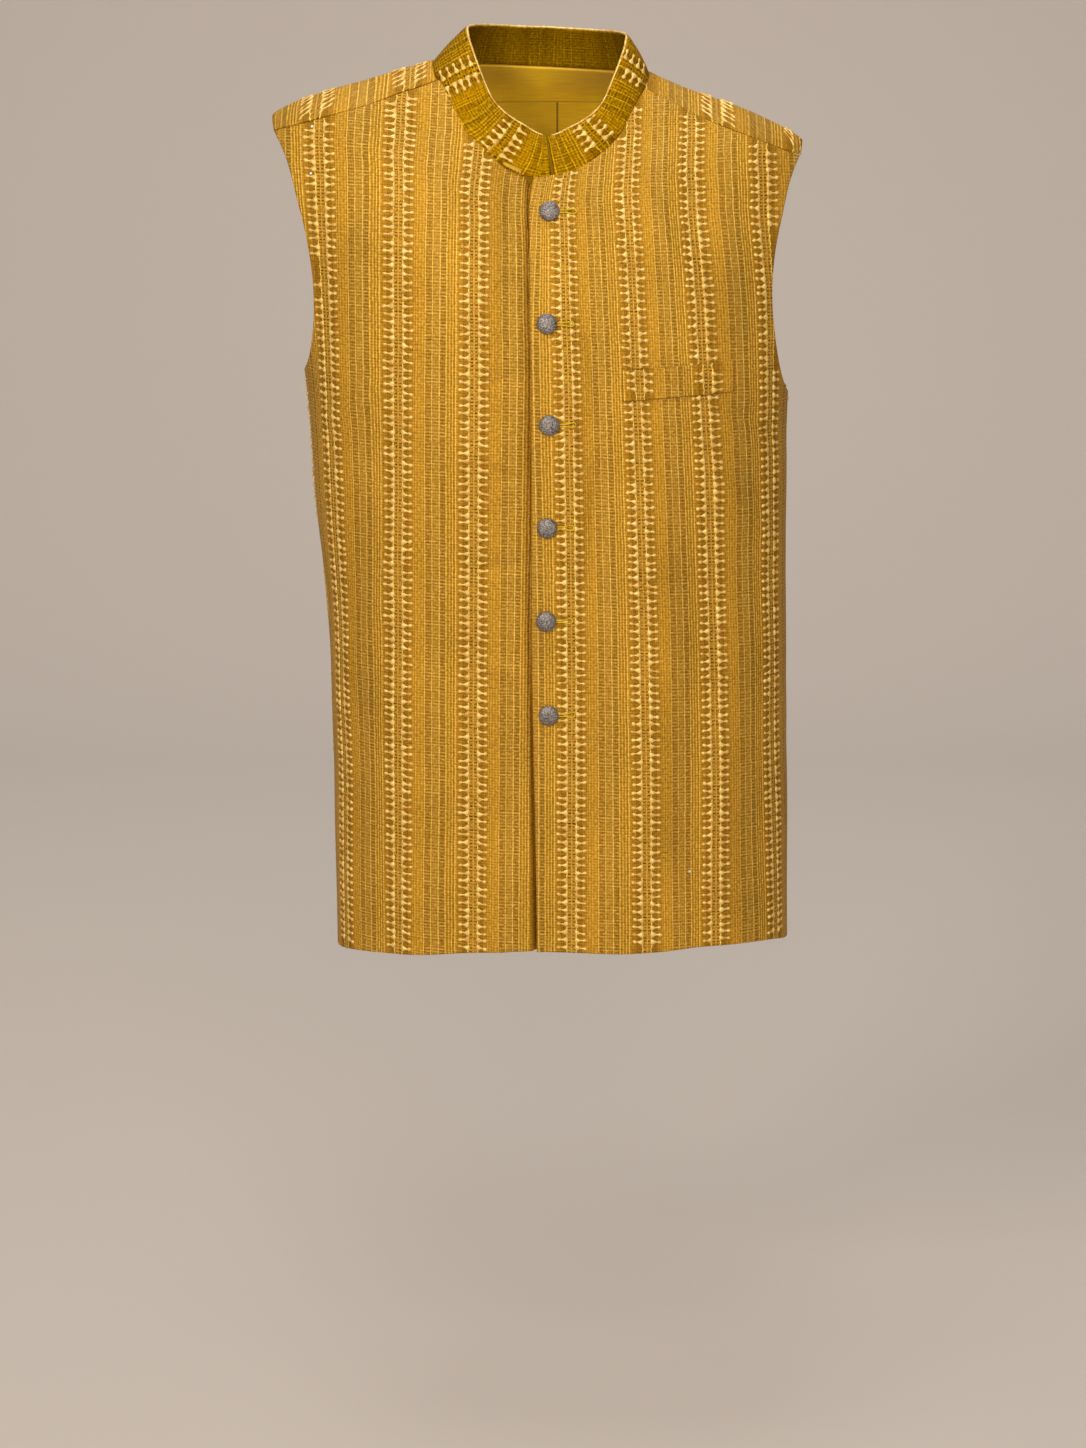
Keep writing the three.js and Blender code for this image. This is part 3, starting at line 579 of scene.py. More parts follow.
def dress(tree, shader, tone, height, bump, values):
    # links a material's colour and its bump of (millimetres, strength), and sets the shader's constants
    relief, strength = bump
    normal = add(tree, "Bump", {"Height": height, "Distance": relief * mm, "Strength": strength})
    tree.links.new(tone, shader.inputs["Base Color"])
    tree.links.new(normal, shader.inputs["Normal"])
    for key, value in values.items():
        shader.inputs[key].default_value = value


# Stripes across one repeat: millimetres from the comb's middle where each band starts, its ground
# colour, and how far it shows rungs, fine lines and dark dots. Under the comb's teeth, from -13.0 to -3.4
# and from 4.4 to 13.2, the ground colour is the cloth's brown darkened with painted shade of the teeth.
# Rungs, lines and weave are drawn coarser than the cloth's 2.1, 1.9 and 1.1 mm, which are too fine to show.
brocade = {
    "bands": (
        (-27.8, "#DDAF52", 0, 0, 0), (-27.1, "#95681C", 0.7, 0, 0), (-22.7, "#D2A244", 0, 0, 0),
        (-22.2, "#A8751D", 0, 1, 0), (-14.8, "#E3B657", 0, 0, 0), (-14.1, "#B98426", 0, 0, 0),
        # bands at -13.0 and -8.9: the ground's brown with painted shade of the comb's teeth
        (-13.0, "#AA7720", 0, 0, 0), (-8.9, "#96681C", 0, 0, 0), (-3.4, "#BB8830", 0, 0, 0),
        (-2.7, "#B9862F", 0, 0, 1), (-0.4, "#C4913A", 0, 0, 0), (1.2, "#B9862F", 0, 0, 1),
        # bands at 4.4 and 9.4: the ground's brown with painted shade of the comb's teeth
        (3.5, "#BB8830", 0, 0, 0), (4.4, "#96681C", 0, 0, 0), (9.4, "#AA7720", 0, 0, 0),
        (13.2, "#B58024", 0, 0.55, 0), (22.3, "#DCAE50", 0, 0, 0), (23.0, "#9C6C1E", 0.7, 0, 0),
        (28.3, "#D8A84A", 0, 0, 0), (29.0, "#AA7B2A", 0.6, 0, 0), (34.4, "#D2A244", 0, 0, 0),
    ),
    "rung": "#D0A24E", "line": "#DCAB4C", "dot": "#5C3A0A", "spine": "#EBC25C",
    "rungPitch": 2.9, "linePitch": 2.5, "dotPitch": 2.9, "weftPitch": 2.3, "warpPitch": 1.9,
    "weft": 0.6, "warp": 0.4, "rungShape": (0.14, 0.32), "dotShape": (0.12, 0.26), "threadWidth": 5.3,
    "stitchStrength": (0.75, 0.25), "lineShape": (-0.1, 0.8), "lineStrength": (0.8, 0.5),
    "spineAt": 3.7, "spineSway": 0.9, "spineShape": (0.35, 0.8), "combMiddle": 0.4,
    # the broad patches are the cloth's uneven tone with painted shade of soft folds
    "noises": ((70, 2), (420, 2), (16, 3)),  # scale per metre and detail of sway, slubs and broad patches
    "sway": 0.9, "shake": 0.9, "weave": 0.23, "slubs": 1.05, "patches": 0.35, "veilAndShade": 0.75,
    "metal": 0.25, "roughness": 0.58, "rungShine": 0.12, "specular": 0.25, "lustre": "#C89A40", "hue": 0.506,
    "bump": (0.7, 0.75),
    "reliefs": (0.5, 0.35, -0.5, 0.7, 0.12, 0.3),  # of rungs, lines, dots, spine, weave and slubs
}


def brocadeCloth(name, shade=1.0, veilAndShade=None, saturation=1.0):
    # silk handwoven with stripes of gilt thread and embroidered in zardozi: broken, half dull gold with
    # bright rungs and dark dots. On the wrong side the silk ground veils most of the gilt; that dark veil
    # is also painted shade inside the collar.
    material, tree, shader = newMaterial(name)
    b = brocade
    cloth = add(tree, "UVMap", uv_map="cloth")
    slow, quick, broad = (add(tree, "TexNoise", {"Vector": cloth, "Scale": scale, "Detail": detail},
                              noise_dimensions="2D") for scale, detail in b["noises"])
    along = add(tree, "SeparateXYZ", (cloth,)).node.outputs
    sway = add(tree, "Math", (slow, b["sway"], -b["sway"] / 2), operation="MULTIPLY_ADD")
    across = add(tree, "Math", (along[0], 1 / mm, sway), operation="MULTIPLY_ADD")
    shake = add(tree, "Math", (quick, b["shake"], -b["shake"] / 2), operation="MULTIPLY_ADD")
    down = add(tree, "Math", (along[1], 1 / mm, shake), operation="MULTIPLY_ADD")

    # which band this is: its ground colour, and how far it shows rungs, lines and dots
    start, repeat = b["bands"][0][0], pattern["repeat"]
    place = add(tree, "Math", (across, start + repeat, start), operation="WRAP")
    share = add(tree, "Math", (place, start), operation="SUBTRACT")
    share = add(tree, "Math", (share, repeat), operation="DIVIDE")
    tones = [((x - start) / repeat, tone) for x, tone, *_ in b["bands"]]
    marks = [((x - start) / repeat, shows) for x, _, *shows in b["bands"]]
    tone = add(tree, "ValToRGB", (share,), stops=tones, fade="CONSTANT")
    shown = add(tree, "ValToRGB", (share,), stops=marks, fade="CONSTANT")
    shown = add(tree, "SeparateXYZ", (shown,)).node.outputs
    column = add(tree, "Math", (across, b["threadWidth"]), operation="DIVIDE")
    column = add(tree, "Math", (column,), operation="FLOOR")

    def stitches(pitch, edges, shown):
        # one in the middle of each step down the cloth, each with a strength of its own
        step = add(tree, "Math", (down, pitch), operation="DIVIDE")
        whole = add(tree, "Math", (step,), operation="FLOOR")
        key = add(tree, "CombineXYZ", (whole, column))
        chance = add(tree, "TexWhiteNoise", {"Vector": key}, noise_dimensions="2D")
        part = add(tree, "Math", (step,), operation="FRACT")
        off = add(tree, "Math", (part, 0.5), operation="SUBTRACT")
        off = add(tree, "Math", (off,), operation="ABSOLUTE")
        shape = add(tree, "MapRange", (off, *edges, 1.0, 0.0), interpolation_type="SMOOTHSTEP")
        strength = add(tree, "Math", (chance, *b["stitchStrength"]), operation="MULTIPLY_ADD")
        drawn = add(tree, "Math", (shape, strength), operation="MULTIPLY")
        return add(tree, "Math", (drawn, shown), operation="MULTIPLY")

    def wave(length, pitch):
        # sine of a length, with this pitch
        turn = add(tree, "Math", (length, 2 * math.pi / pitch), operation="MULTIPLY")
        return add(tree, "Math", (turn,), operation="SINE")

    rungs = stitches(b["rungPitch"], b["rungShape"], shown[0])
    dots = stitches(b["dotPitch"], b["dotShape"], shown[2])
    lines = add(tree, "MapRange", (wave(across, b["linePitch"]), *b["lineShape"], 0.0, 1.0))
    uneven = add(tree, "Math", (quick, *b["lineStrength"]), operation="MULTIPLY_ADD")
    uneven = add(tree, "Math", (shown[1], uneven), operation="MULTIPLY")
    lines = add(tree, "Math", (lines, uneven), operation="MULTIPLY")

    # the comb's two spines: each is a line that bends to and fro once a tooth
    zigzag = add(tree, "Math", (down, pattern["pitch"] / 2), operation="PINGPONG")
    steepness, nearest = 2 * b["spineSway"] / pattern["pitch"], b["spineAt"] - b["spineSway"] / 2
    bend = add(tree, "Math", (zigzag, steepness, nearest), operation="MULTIPLY_ADD")
    off = add(tree, "Math", (place, b["combMiddle"]), operation="SUBTRACT")
    off = add(tree, "Math", (off,), operation="ABSOLUTE")
    off = add(tree, "Math", (off, bend), operation="SUBTRACT")
    off = add(tree, "Math", (off,), operation="ABSOLUTE")
    spine = add(tree, "MapRange", (off, *b["spineShape"], 1.0, 0.0))
    warp = add(tree, "Math", (wave(across, b["warpPitch"]), b["warp"]), operation="MULTIPLY")
    weave = add(tree, "Math", (wave(down, b["weftPitch"]), b["weft"], warp), operation="MULTIPLY_ADD")

    inks = [(rungs, b["rung"]), (lines, b["line"]), (dots, b["dot"]), (spine, b["spine"])]
    # the veil: the wrong side's dark olive silk, and painted shade inside the collar
    if veilAndShade:
        inks.append((b["veilAndShade"], veilAndShade))
    for factor, ink in inks:
        tone = add(tree, "Mix", {0: factor, 6: tone, 7: colour(ink)}, output=2, data_type="RGBA")
    # a shade below 1 makes a darker copy of the cloth: painted shade
    value = add(tree, "Math", (weave, b["weave"], shade), operation="MULTIPLY_ADD")
    # slubs: the silk's uneven tone; broad patches: uneven tone with painted shade of soft folds
    for noise, share in ((quick, b["slubs"]), (broad, b["patches"])):
        off = add(tree, "Math", (noise, 0.5), operation="SUBTRACT")
        value = add(tree, "Math", (off, share, value), operation="MULTIPLY_ADD")
    tone = add(tree, "HueSaturation", {"Hue": b["hue"], "Saturation": saturation, "Value": value,
                                       "Color": tone})
    height = add(tree, "Math", (rungs, b["reliefs"][0]), operation="MULTIPLY")
    for part, share in zip((lines, dots, spine, weave, quick), b["reliefs"][1:]):
        height = add(tree, "Math", (part, share, height), operation="MULTIPLY_ADD")
    rough = add(tree, "MapRange", {0: rungs, 3: b["roughness"], 4: b["roughness"] - b["rungShine"]})
    tree.links.new(rough, shader.inputs["Roughness"])
    dress(tree, shader, tone, height, b["bump"], {
        "Metallic": b["metal"], "Specular IOR Level": b["specular"], "Specular Tint": colour(b["lustre"])})
    return material


# Silk lining: scales per metre of its weft slubs and warp threads, and the back's seam in millimetres: its
# place, the top of it, and the half widths of its groove and of the pressed line at its top
silkLook = {
    # light and dark: the silk's gold, brightened as painted light on the vest's inside, which the lamps
    # barely reach
    "light": "#F0C400", "dark": "#C09000", "grooveShade": "#7E5E05", "roughness": 0.55, "sheen": 0.2,
    "weft": (40, 1500, 1), "warp": (1400, 30, 1), "patches": 14, "seam": 9.3, "seamTop": -14,
    "seamHalf": (0.3, 1.2), "pressHalf": (0.3, 1.0), "pressed": 0.4, "groove": -2.0, "bump": (0.3, 0.5),
}


def silkLining(name, seamed=False):
    # plain woven dupion silk: fine uneven weft threads and a soft lustre; its tones are brightened with
    # painted light
    material, tree, shader = newMaterial(name)
    look = silkLook
    cloth = add(tree, "UVMap", uv_map="cloth")
    stretched = [add(tree, "Mapping", {"Vector": cloth, "Scale": look[key]}) for key in ("weft", "warp")]
    noises = ((stretched[0], 1, 4), (stretched[1], 1, 2), (cloth, look["patches"], 2))
    slubs, threads, broad = (add(tree, "TexNoise", {"Vector": vector, "Scale": scale, "Detail": detail},
                                 noise_dimensions="2D") for vector, scale, detail in noises)
    mixed = add(tree, "Math", (slubs, 0.5, broad), operation="MULTIPLY_ADD")
    tone = add(tree, "ValToRGB", (mixed,), stops=[(0.45, look["dark"]), (1.0, look["light"])])
    height = add(tree, "Math", (slubs, threads), operation="ADD")
    if seamed:
        # the centre back seam and the pressed line at its top: narrow grooves darkened with painted shade
        split = add(tree, "SeparateXYZ", (cloth,)).node.outputs
        away = add(tree, "Math", (split[0], look["seam"] * mm), operation="SUBTRACT")
        away = add(tree, "Math", (away,), operation="ABSOLUTE")
        near, far = look["seamHalf"]
        groove = add(tree, "MapRange", (away, near * mm, far * mm, 1.0, 0.0))
        below = add(tree, "Math", (split[1], look["seamTop"] * mm), operation="LESS_THAN")
        groove = add(tree, "Math", (groove, below), operation="MULTIPLY")
        level = add(tree, "Math", (split[1], look["seamTop"] * mm), operation="SUBTRACT")
        level = add(tree, "Math", (level,), operation="ABSOLUTE")
        near, far = look["pressHalf"]
        pressed = add(tree, "MapRange", (level, near * mm, far * mm, look["pressed"], 0.0))
        groove = add(tree, "Math", (groove, pressed), operation="MAXIMUM")
        # painted shade in the seam's groove and along the pressed crease
        tone = add(tree, "Mix", {0: groove, 6: tone, 7: colour(look["grooveShade"])}, output=2, data_type="RGBA")
        height = add(tree, "Math", (groove, look["groove"], height), operation="MULTIPLY_ADD")
    dress(tree, shader, tone, height, look["bump"], {
        "Roughness": look["roughness"], "Sheen Weight": look["sheen"]})
    return material


# Laid thread: scales per metre of its patches and stitches, and where its deep and bright tones lie
threadLook = {"patches": 160, "fine": 1500, "fineShare": 0.45, "tones": (0.5, 0.85), "metal": 0.3,
              "roughness": 0.48, "bump": (0.5, 0.6)}


def laidThread(name, bright, deep):
    # thread laid in close turns and held down: half dull, half metallic, a tone of its own in every stitch
    material, tree, shader = newMaterial(name)
    place = add(tree, "TexCoord", output=3)
    patches, fine = (add(tree, "TexNoise", {"Vector": place, "Scale": threadLook[key], "Detail": 2})
                     for key in ("patches", "fine"))
    both = add(tree, "Math", (fine, threadLook["fineShare"], patches), operation="MULTIPLY_ADD")
    tone = add(tree, "ValToRGB", (both,), stops=list(zip(threadLook["tones"], (deep, bright))))
    dress(tree, shader, tone, fine, threadLook["bump"], {
        "Metallic": threadLook["metal"], "Roughness": threadLook["roughness"]})
    return material


# Aged metal: tones from dark to worn, and the scales per metre of its grain and pits
buttonLook = {
    "tones": ((0.36, "#4E4844"), (0.56, "#8F8A88"), (0.8, "#B3AEAC")), "speck": "#C9A766",
    "speckSize": (0.12, 0.2), "grain": 900, "pits": 700, "shine": 0.6, "roughness": 0.48, "bump": (0.5, 0.6),
}


def agedMetal(name):
    # cast white metal, blackened and rubbed back: mottled grey with traces of gilding in the pits
    material, tree, shader = newMaterial(name)
    look = buttonLook
    place = add(tree, "TexCoord", output=3)
    grain = add(tree, "TexNoise", {"Vector": place, "Scale": look["grain"], "Detail": 3})
    pits = add(tree, "TexVoronoi", {"Vector": place, "Scale": look["pits"]})
    tone = add(tree, "ValToRGB", (grain,), stops=look["tones"])
    speck = add(tree, "MapRange", (pits, *look["speckSize"], 1.0, 0.0))
    tone = add(tree, "Mix", {0: speck, 6: tone, 7: colour(look["speck"])}, output=2, data_type="RGBA")
    height = add(tree, "Math", (pits, grain), operation="ADD")
    dress(tree, shader, tone, height, look["bump"], {
        "Metallic": look["shine"], "Roughness": look["roughness"]})
    return material


# the collar's cloth: the brocade made darker and more saturated, painted shade on the collar
cloth, collarClothPaintedShade = brocadeCloth("zardoziBrocade"), brocadeCloth("collarBrocadePaintedShade", 0.68, saturation=1.12)
# the collar's inside: the brocade darker and veiled in dark olive, the duller wrong side with painted shade
# inside the band
facingClothPaintedShade = brocadeCloth("brocadeReversePaintedShade", 0.8, "#7A5A02", 1.12)
silk, seamedSilk = silkLining("dupionLining"), silkLining("dupionBackLining", True)
gold = laidThread("giltThread", "#F4D47C", "#CB9430")
greenThread = laidThread("buttonholeThread", "#E6C41C", "#B08E00")
foil = laidThread("silveredFoil", "#F4F4F2", "#D8D6D0")
metal = agedMetal("agedCastMetal")
print("materials made")


# Comb lines: height, then x of each comb's middle, and on the back their reach
combLines = {
    "left": np.array([(-91, 14.7, 66.0, 117.1, 175.7), (-169, 16.0, 69.2, 122.8, 181.9),
                      (-448, 19.5, 78.8, 137.7, 186.7), (-688, 20.0, 82.8, 141.4, 194.4)]),
    "right": np.array([(-76, -58.0, -119.7, -185.0), (-469, -61.0, -122.4, -172.6),
                       (-700, -62.6, -124.8, -170.1)]),
    "back": (-107.0, -44.0, 19.0, 82.0, 145.0),
}


def combColumns(panel, v):
    # column angle of each comb's middle at these heights or rises
    lines = combLines[panel]
    if panel == "back":
        return [backColumn(np.full(v.shape, reach), v) for reach in lines]
    lean = section("lean", np.minimum(v, form["shoulderLevel"]))
    return [frontColumn(curveAt(lines[:, [0, k]], v) - lean, v) for k in range(1, lines.shape[1])]


def clothUv(table, u, v, panel):
    # pattern coordinates: a whole number of repeats at each comb line, and the length down the cloth
    columns = combColumns(panel, v)
    order = -1 if panel == "right" else 1
    across, *marks = (np.interp(angle, table["us"], table["across"]) * order for angle in (u, *columns))
    s = (across - marks[0]) / pattern["repeat"]
    for k in range(len(marks) - 1):
        share = (across - marks[k]) / (marks[k + 1] - marks[k])
        s = np.where(across > marks[k], k + np.minimum(share, 1), s)
    s = np.where(across > marks[-1], len(marks) - 1 + (across - marks[-1]) / pattern["repeat"], s)
    return pairs(s * order * pattern["repeat"] * mm, -readMap(table, u, v) * mm)


# Lengths on the plain body, for the pattern: column angles, heights or rises, and the row kept even
columnAngles = np.radians(np.linspace(-90, 90, 241))
frontMap = clothMap(frontPoint, columnAngles, np.linspace(20, -740, 381), -300)
backMap = clothMap(backPoint, columnAngles, np.linspace(-4, 27.2, 313), 16)


def tuck(points):
    # the right front sinks below the left one wherever that lies on it, deepest along the left one's edge
    start, full = tuckRun["start"], tuckRun["full"]
    past = points[..., 0] - placketEdge(points[..., 2])
    furrow = np.exp(-(((past - tuckRun["furrowAt"]) / tuckRun["furrowSpread"]) ** 2))
    sunk = (form["wall"] + tuckRun["gap"]) * smooth((past + start) / (start - full))
    return -sunk - tuckRun["furrow"] * furrow


# Rows and columns of the panels' grids, and how far their cloth swells beside a stitched edge
panels = {"leftColumns": 124, "rightColumns": 164, "frontRows": 196, "backColumns": 160, "stripRows": 16,
          "backRows": 176, "swell": 0.25}


def frontPiece(name, side, edgeX):
    # the panel's grid on the body, lifted by its folds, creases and unevenness
    grid = frontPanel(side, edgeX, panels["leftColumns" if side > 0 else "rightColumns"], panels["frontRows"])
    points = frontPoint(grid[..., 0], grid[..., 1])
    points[..., 1] -= form["seamGap"] / 2
    normals = gridNormals(points, -side)
    lift = standingFolds(1, points) + smallCreases(1, points) + unevenness(points, waves["frontSeed"])
    if side < 0:
        lift = lift + tuck(points)
    uv = clothUv(frontMap, grid[..., 0], grid[..., 1], "left" if side > 0 else "right")
    return clothShell(name, points, normals, lift, form["wall"], uv, -side, (cloth, silk),
                      swell=panels["swell"])


def backPiece(name):
    # the same for the back and its strips over the shoulders
    grid = backPanel(panels["backColumns"], panels["stripRows"], panels["backRows"])
    points = backPoint(grid[..., 0], grid[..., 1])
    points[..., 1] += form["seamGap"] / 2
    normals = gridNormals(points, 1)
    lift = standingFolds(-1, points) + smallCreases(-1, points) + unevenness(points, waves["backSeed"])
    uv = clothUv(backMap, grid[..., 0], grid[..., 1], "back")
    return clothShell(name, points, normals, lift, form["wall"], uv, 1, (cloth, silk), swell=panels["swell"])


# Stand collar in millimetres: its top ring, the slit in front, and how far it sinks into the neck seam
collar = {
    "columns": 330, "rows": 34, "length": 480, "height": 40, "unevenness": 0.6, "swell": 0.2,
    "wall": 2.6, "topWidth": 66, "topFront": 45, "topBack": 54, "topLean": 5, "bulge": 1.6,
    "slitBase": 2.4, "slitTop": 0.7, "middle": 5, "clearFront": -2.2, "clearSide": -1.4, "lift": 0.4,
    "firstComb": 39, "repeats": 6,
    "topRing": np.array([(0, -41), (9, -37), (16, -32.5), (24, -28), (34, -21), (43, -12), (49, -2.5),
                         (55, 8), (62, 18), (70, 28), (90, 43), (180, 46.5)], float),
}


def collarPoint(turn, share):
    # straight between the neck ring and the top ring, bulged outwards by a half wave
    turn, share = np.broadcast_arrays(turn, share)
    base = bodyPoint(np.zeros(turn.shape), turn)
    depth = np.where(np.cos(turn) > 0, collar["topFront"], collar["topBack"])
    height = curveAt(collar["topRing"], np.abs(np.degrees(turn)))
    x = collar["topWidth"] * np.sin(turn) + collar["topLean"]
    top = placed(x, -depth * np.cos(turn), height, np.zeros(turn.shape))
    out = np.stack([np.sin(turn), -np.cos(turn), np.zeros(turn.shape)], axis=-1)
    s = share[..., None]
    return base * (1 - s) + top * s + out * (collar["bulge"] * np.sin(math.pi * s))


def collarGrid():
    # turn and share of each point; the band ends in a slit that narrows upwards
    v = edgeShares(collar["rows"], collar["height"])[:, None]
    slit = collar["slitBase"] + (collar["slitTop"] - collar["slitBase"]) * v
    width = form["neckWidth"] + (collar["topWidth"] - form["neckWidth"]) * v
    shift = collar["middle"] - collar["topLean"] * v - form["neckLean"] * (1 - v)
    first = np.arcsin((shift + slit / 2) / width)
    last = np.arcsin((shift - slit / 2) / width) + 2 * math.pi
    turn = first + (last - first) * edgeShares(collar["columns"], collar["length"])[None]
    turn = np.where(turn > math.pi, turn - 2 * math.pi, turn)
    clear = collar["clearFront"] + (collar["clearSide"] - collar["clearFront"]) * np.sin(turn) ** 2
    height = curveAt(collar["topRing"], np.abs(np.degrees(turn))) - neckHeight(turn)
    start = clear / height
    return turn, start + (1 - start) * v


def collarPiece(name):
    # stripes cross the band squarely: lengths are taken along and square to its middle line
    points = collarPoint(*collarGrid())
    normals = gridNormals(points, 1)
    middle = points[len(points) // 2]
    ahead = np.gradient(middle, axis=0)
    ahead /= np.linalg.norm(ahead, axis=1, keepdims=True)
    along = np.pad(np.linalg.norm(np.diff(middle, axis=0), axis=1).cumsum(), (1, 0))
    away = points - middle
    beside = (away * ahead).sum(axis=2)
    rows = np.arange(len(points))[:, None] - len(points) // 2
    up = np.sqrt(np.maximum((away**2).sum(axis=2) - beside**2, 0)) * np.sign(rows)
    steps = (along + beside - collar["firstComb"]) / (along[-1] - 2 * collar["firstComb"]) * collar["repeats"]
    uv = pairs(steps * pattern["repeat"] * mm, up * mm)
    lift = unevenness(points, waves["collarSeed"]) * collar["unevenness"] + collar["lift"]
    return clothShell(name, points, normals, lift, collar["wall"], uv, -1, (collarClothPaintedShade, facingClothPaintedShade),
                      swell=collar["swell"])


# Lining of the upper back: half width, the rises where it starts and ends, and its room to the back
lining = {"wall": 0.9, "half": 105, "start": 0.05, "bottom": 17.4, "gap": 0.35, "clear": 1.2,
          "roll": 0.8, "columns": 120, "rows": 90}


def liningPiece(name):
    # the back's own points from the neck seam down, moved inwards
    reach = lining["half"] * np.linspace(-1, 1, lining["columns"])[None]
    start = riseOf(np.minimum(np.abs(reach), form["neckWidth"] * math.sin(form["seamAngle"])), 0.0)
    share = np.linspace(0, 1, lining["rows"])[:, None]
    rises = start + lining["start"] + (lining["bottom"] - start) * share
    points = backPoint(backColumn(reach + 0 * rises, rises), rises)
    points[..., 1] += form["seamGap"] / 2
    normals = gridNormals(points, 1)
    lift = standingFolds(-1, points) - form["wall"] - lining["gap"] - lining["clear"]
    uv = pairs(points[..., 0] * mm, points[..., 2] * mm)
    return clothShell(name, points, normals, lift, lining["wall"], uv, 1, (silk, seamedSilk),
                      rollRadius=lining["roll"])


def leftFrontAt(x, z):
    # a point of the left front seen from the front, with its outward normal and column angle
    angle = frontColumn(x - section("lean", z), z)
    point = frontPoint(angle, z)
    turn, rise = 0.004, 0.6  # short steps to both sides, in radians and millimetres
    normal = np.cross(frontPoint(angle + turn, z) - frontPoint(angle - turn, z),
                      frontPoint(angle, z + rise) - frontPoint(angle, z - rise))
    normal /= np.linalg.norm(normal, axis=-1, keepdims=True)
    point[..., 1] -= form["seamGap"] / 2
    lift = standingFolds(1, point) + smallCreases(1, point) + unevenness(point, waves["frontSeed"])
    return point + normal * lift[..., None], normal, angle


# Chest welt: x and height of its top corners; shift moves its stripes off the front's
welt = {
    "xInner": 60.6, "xOuter": 151.2, "zInner": -224.4, "zOuter": -219.2, "height": 25, "wall": 1.4,
    "shift": 3, "roll": 1.2, "columns": 70, "rows": 20,
}


def weltPiece(name):
    # a slanted strip of the left front's own points, moved out
    length = welt["xOuter"] - welt["xInner"]
    across = edgeShares(welt["columns"], length)[None]
    down = edgeShares(welt["rows"], welt["height"])[:, None]
    x = welt["xInner"] + length * across + 0 * down
    z = welt["zInner"] + (welt["zOuter"] - welt["zInner"]) * across - welt["height"] * down
    z = z + form["tilt"] * (x - form["neckLean"])
    points, normals, angle = leftFrontAt(x, z)
    uv = clothUv(frontMap, angle, z, "left") - [welt["shift"] * mm, 0]
    lift = np.full(x.shape, form["layerGap"] + welt["wall"])
    return clothShell(name, points, normals, lift, welt["wall"], uv, -1, (cloth, cloth),
                      rollRadius=welt["roll"])


# A tooth of a comb: distance from the comb's middle, half width and height, from the spine to its head,
# then its half ring, and how far size, slant, length and place differ from tooth to tooth
tooth = {
    "shape": np.array([(2.8, 1.8, 0.4), (3.8, 2.7, 0.95), (5.0, 2.5, 1.2), (6.4, 1.5, 0.95), (7.8, 0.75, 0.6),
                       (9.0, 0.8, 0.65), (10.2, 1.6, 1.2), (11.6, 1.55, 1.1), (12.6, 0.6, 0.2)]),
    "ring": np.array([(-1, -0.3), (-0.72, 0.62), (0, 1), (0.72, 0.62), (1, -0.3)]), "sunk": 0.3,
    "middle": 8.0, "near": 3.0, "size": 0.2, "turn": 0.16, "stretch": 0.05, "shift": 0.35,
}


def locate(uv, target, row, column):
    # where in the grid the pattern coordinates are the target's, by repeated straight steps
    for _ in range(5):
        off = target - readGrid(uv, row, column)
        perRow = readGrid(uv, row + 0.5, column) - readGrid(uv, row - 0.5, column)
        perColumn = readGrid(uv, row, column + 0.5) - readGrid(uv, row, column - 0.5)
        area = perRow[..., 0] * perColumn[..., 1] - perRow[..., 1] * perColumn[..., 0]
        area = np.where(np.abs(area) < 1e-6, np.nan, area)
        row = row + (off[..., 0] * perColumn[..., 1] - off[..., 1] * perColumn[..., 0]) / area
        column = column + (off[..., 1] * perRow[..., 0] - off[..., 0] * perRow[..., 1]) / area
        row, column = np.clip(row, -1, uv.shape[0]), np.clip(column, -1, uv.shape[1])
    return row, column


def toothPlaces(shell, rng, keep):
    # both sides of every comb at every pitch: side, middle in pattern coordinates, and nearest grid point
    uv = shell["uv"]
    low, high = np.nanmin(uv, axis=(0, 1)), np.nanmax(uv, axis=(0, 1))
    combs, rows = (np.arange(math.floor(low[k] / step), math.ceil(high[k] / step) + 1)
                   for k, step in enumerate((pattern["repeat"], pattern["pitch"])))
    comb, row, side = (index.ravel() for index in np.meshgrid(combs, rows, (-1, 1), indexing="ij"))
    middle = np.stack([comb * pattern["repeat"] + brocade["combMiddle"],
                       row * pattern["pitch"] + rng.normal(0, tooth["shift"], len(row))], axis=1)
    anchor = middle + np.stack([side * tooth["middle"], 0 * side], axis=1)
    flatUv = np.where(np.isnan(uv), 1e6, uv).reshape(-1, 2)
    batches = np.array_split(anchor, max(1, len(anchor) // 60))  # a few at a time, to save memory
    nearest = np.concatenate([((batch[:, None] - flatUv) ** 2).sum(axis=2).argmin(axis=1)
                              for batch in batches])
    close = np.linalg.norm(flatUv[nearest] - anchor, axis=1) < tooth["near"]
    if keep:
        close &= keep(shell["outer"].reshape(-1, 3)[nearest])
    return side[close], middle[close], *np.divmod(nearest[close], uv.shape[1])


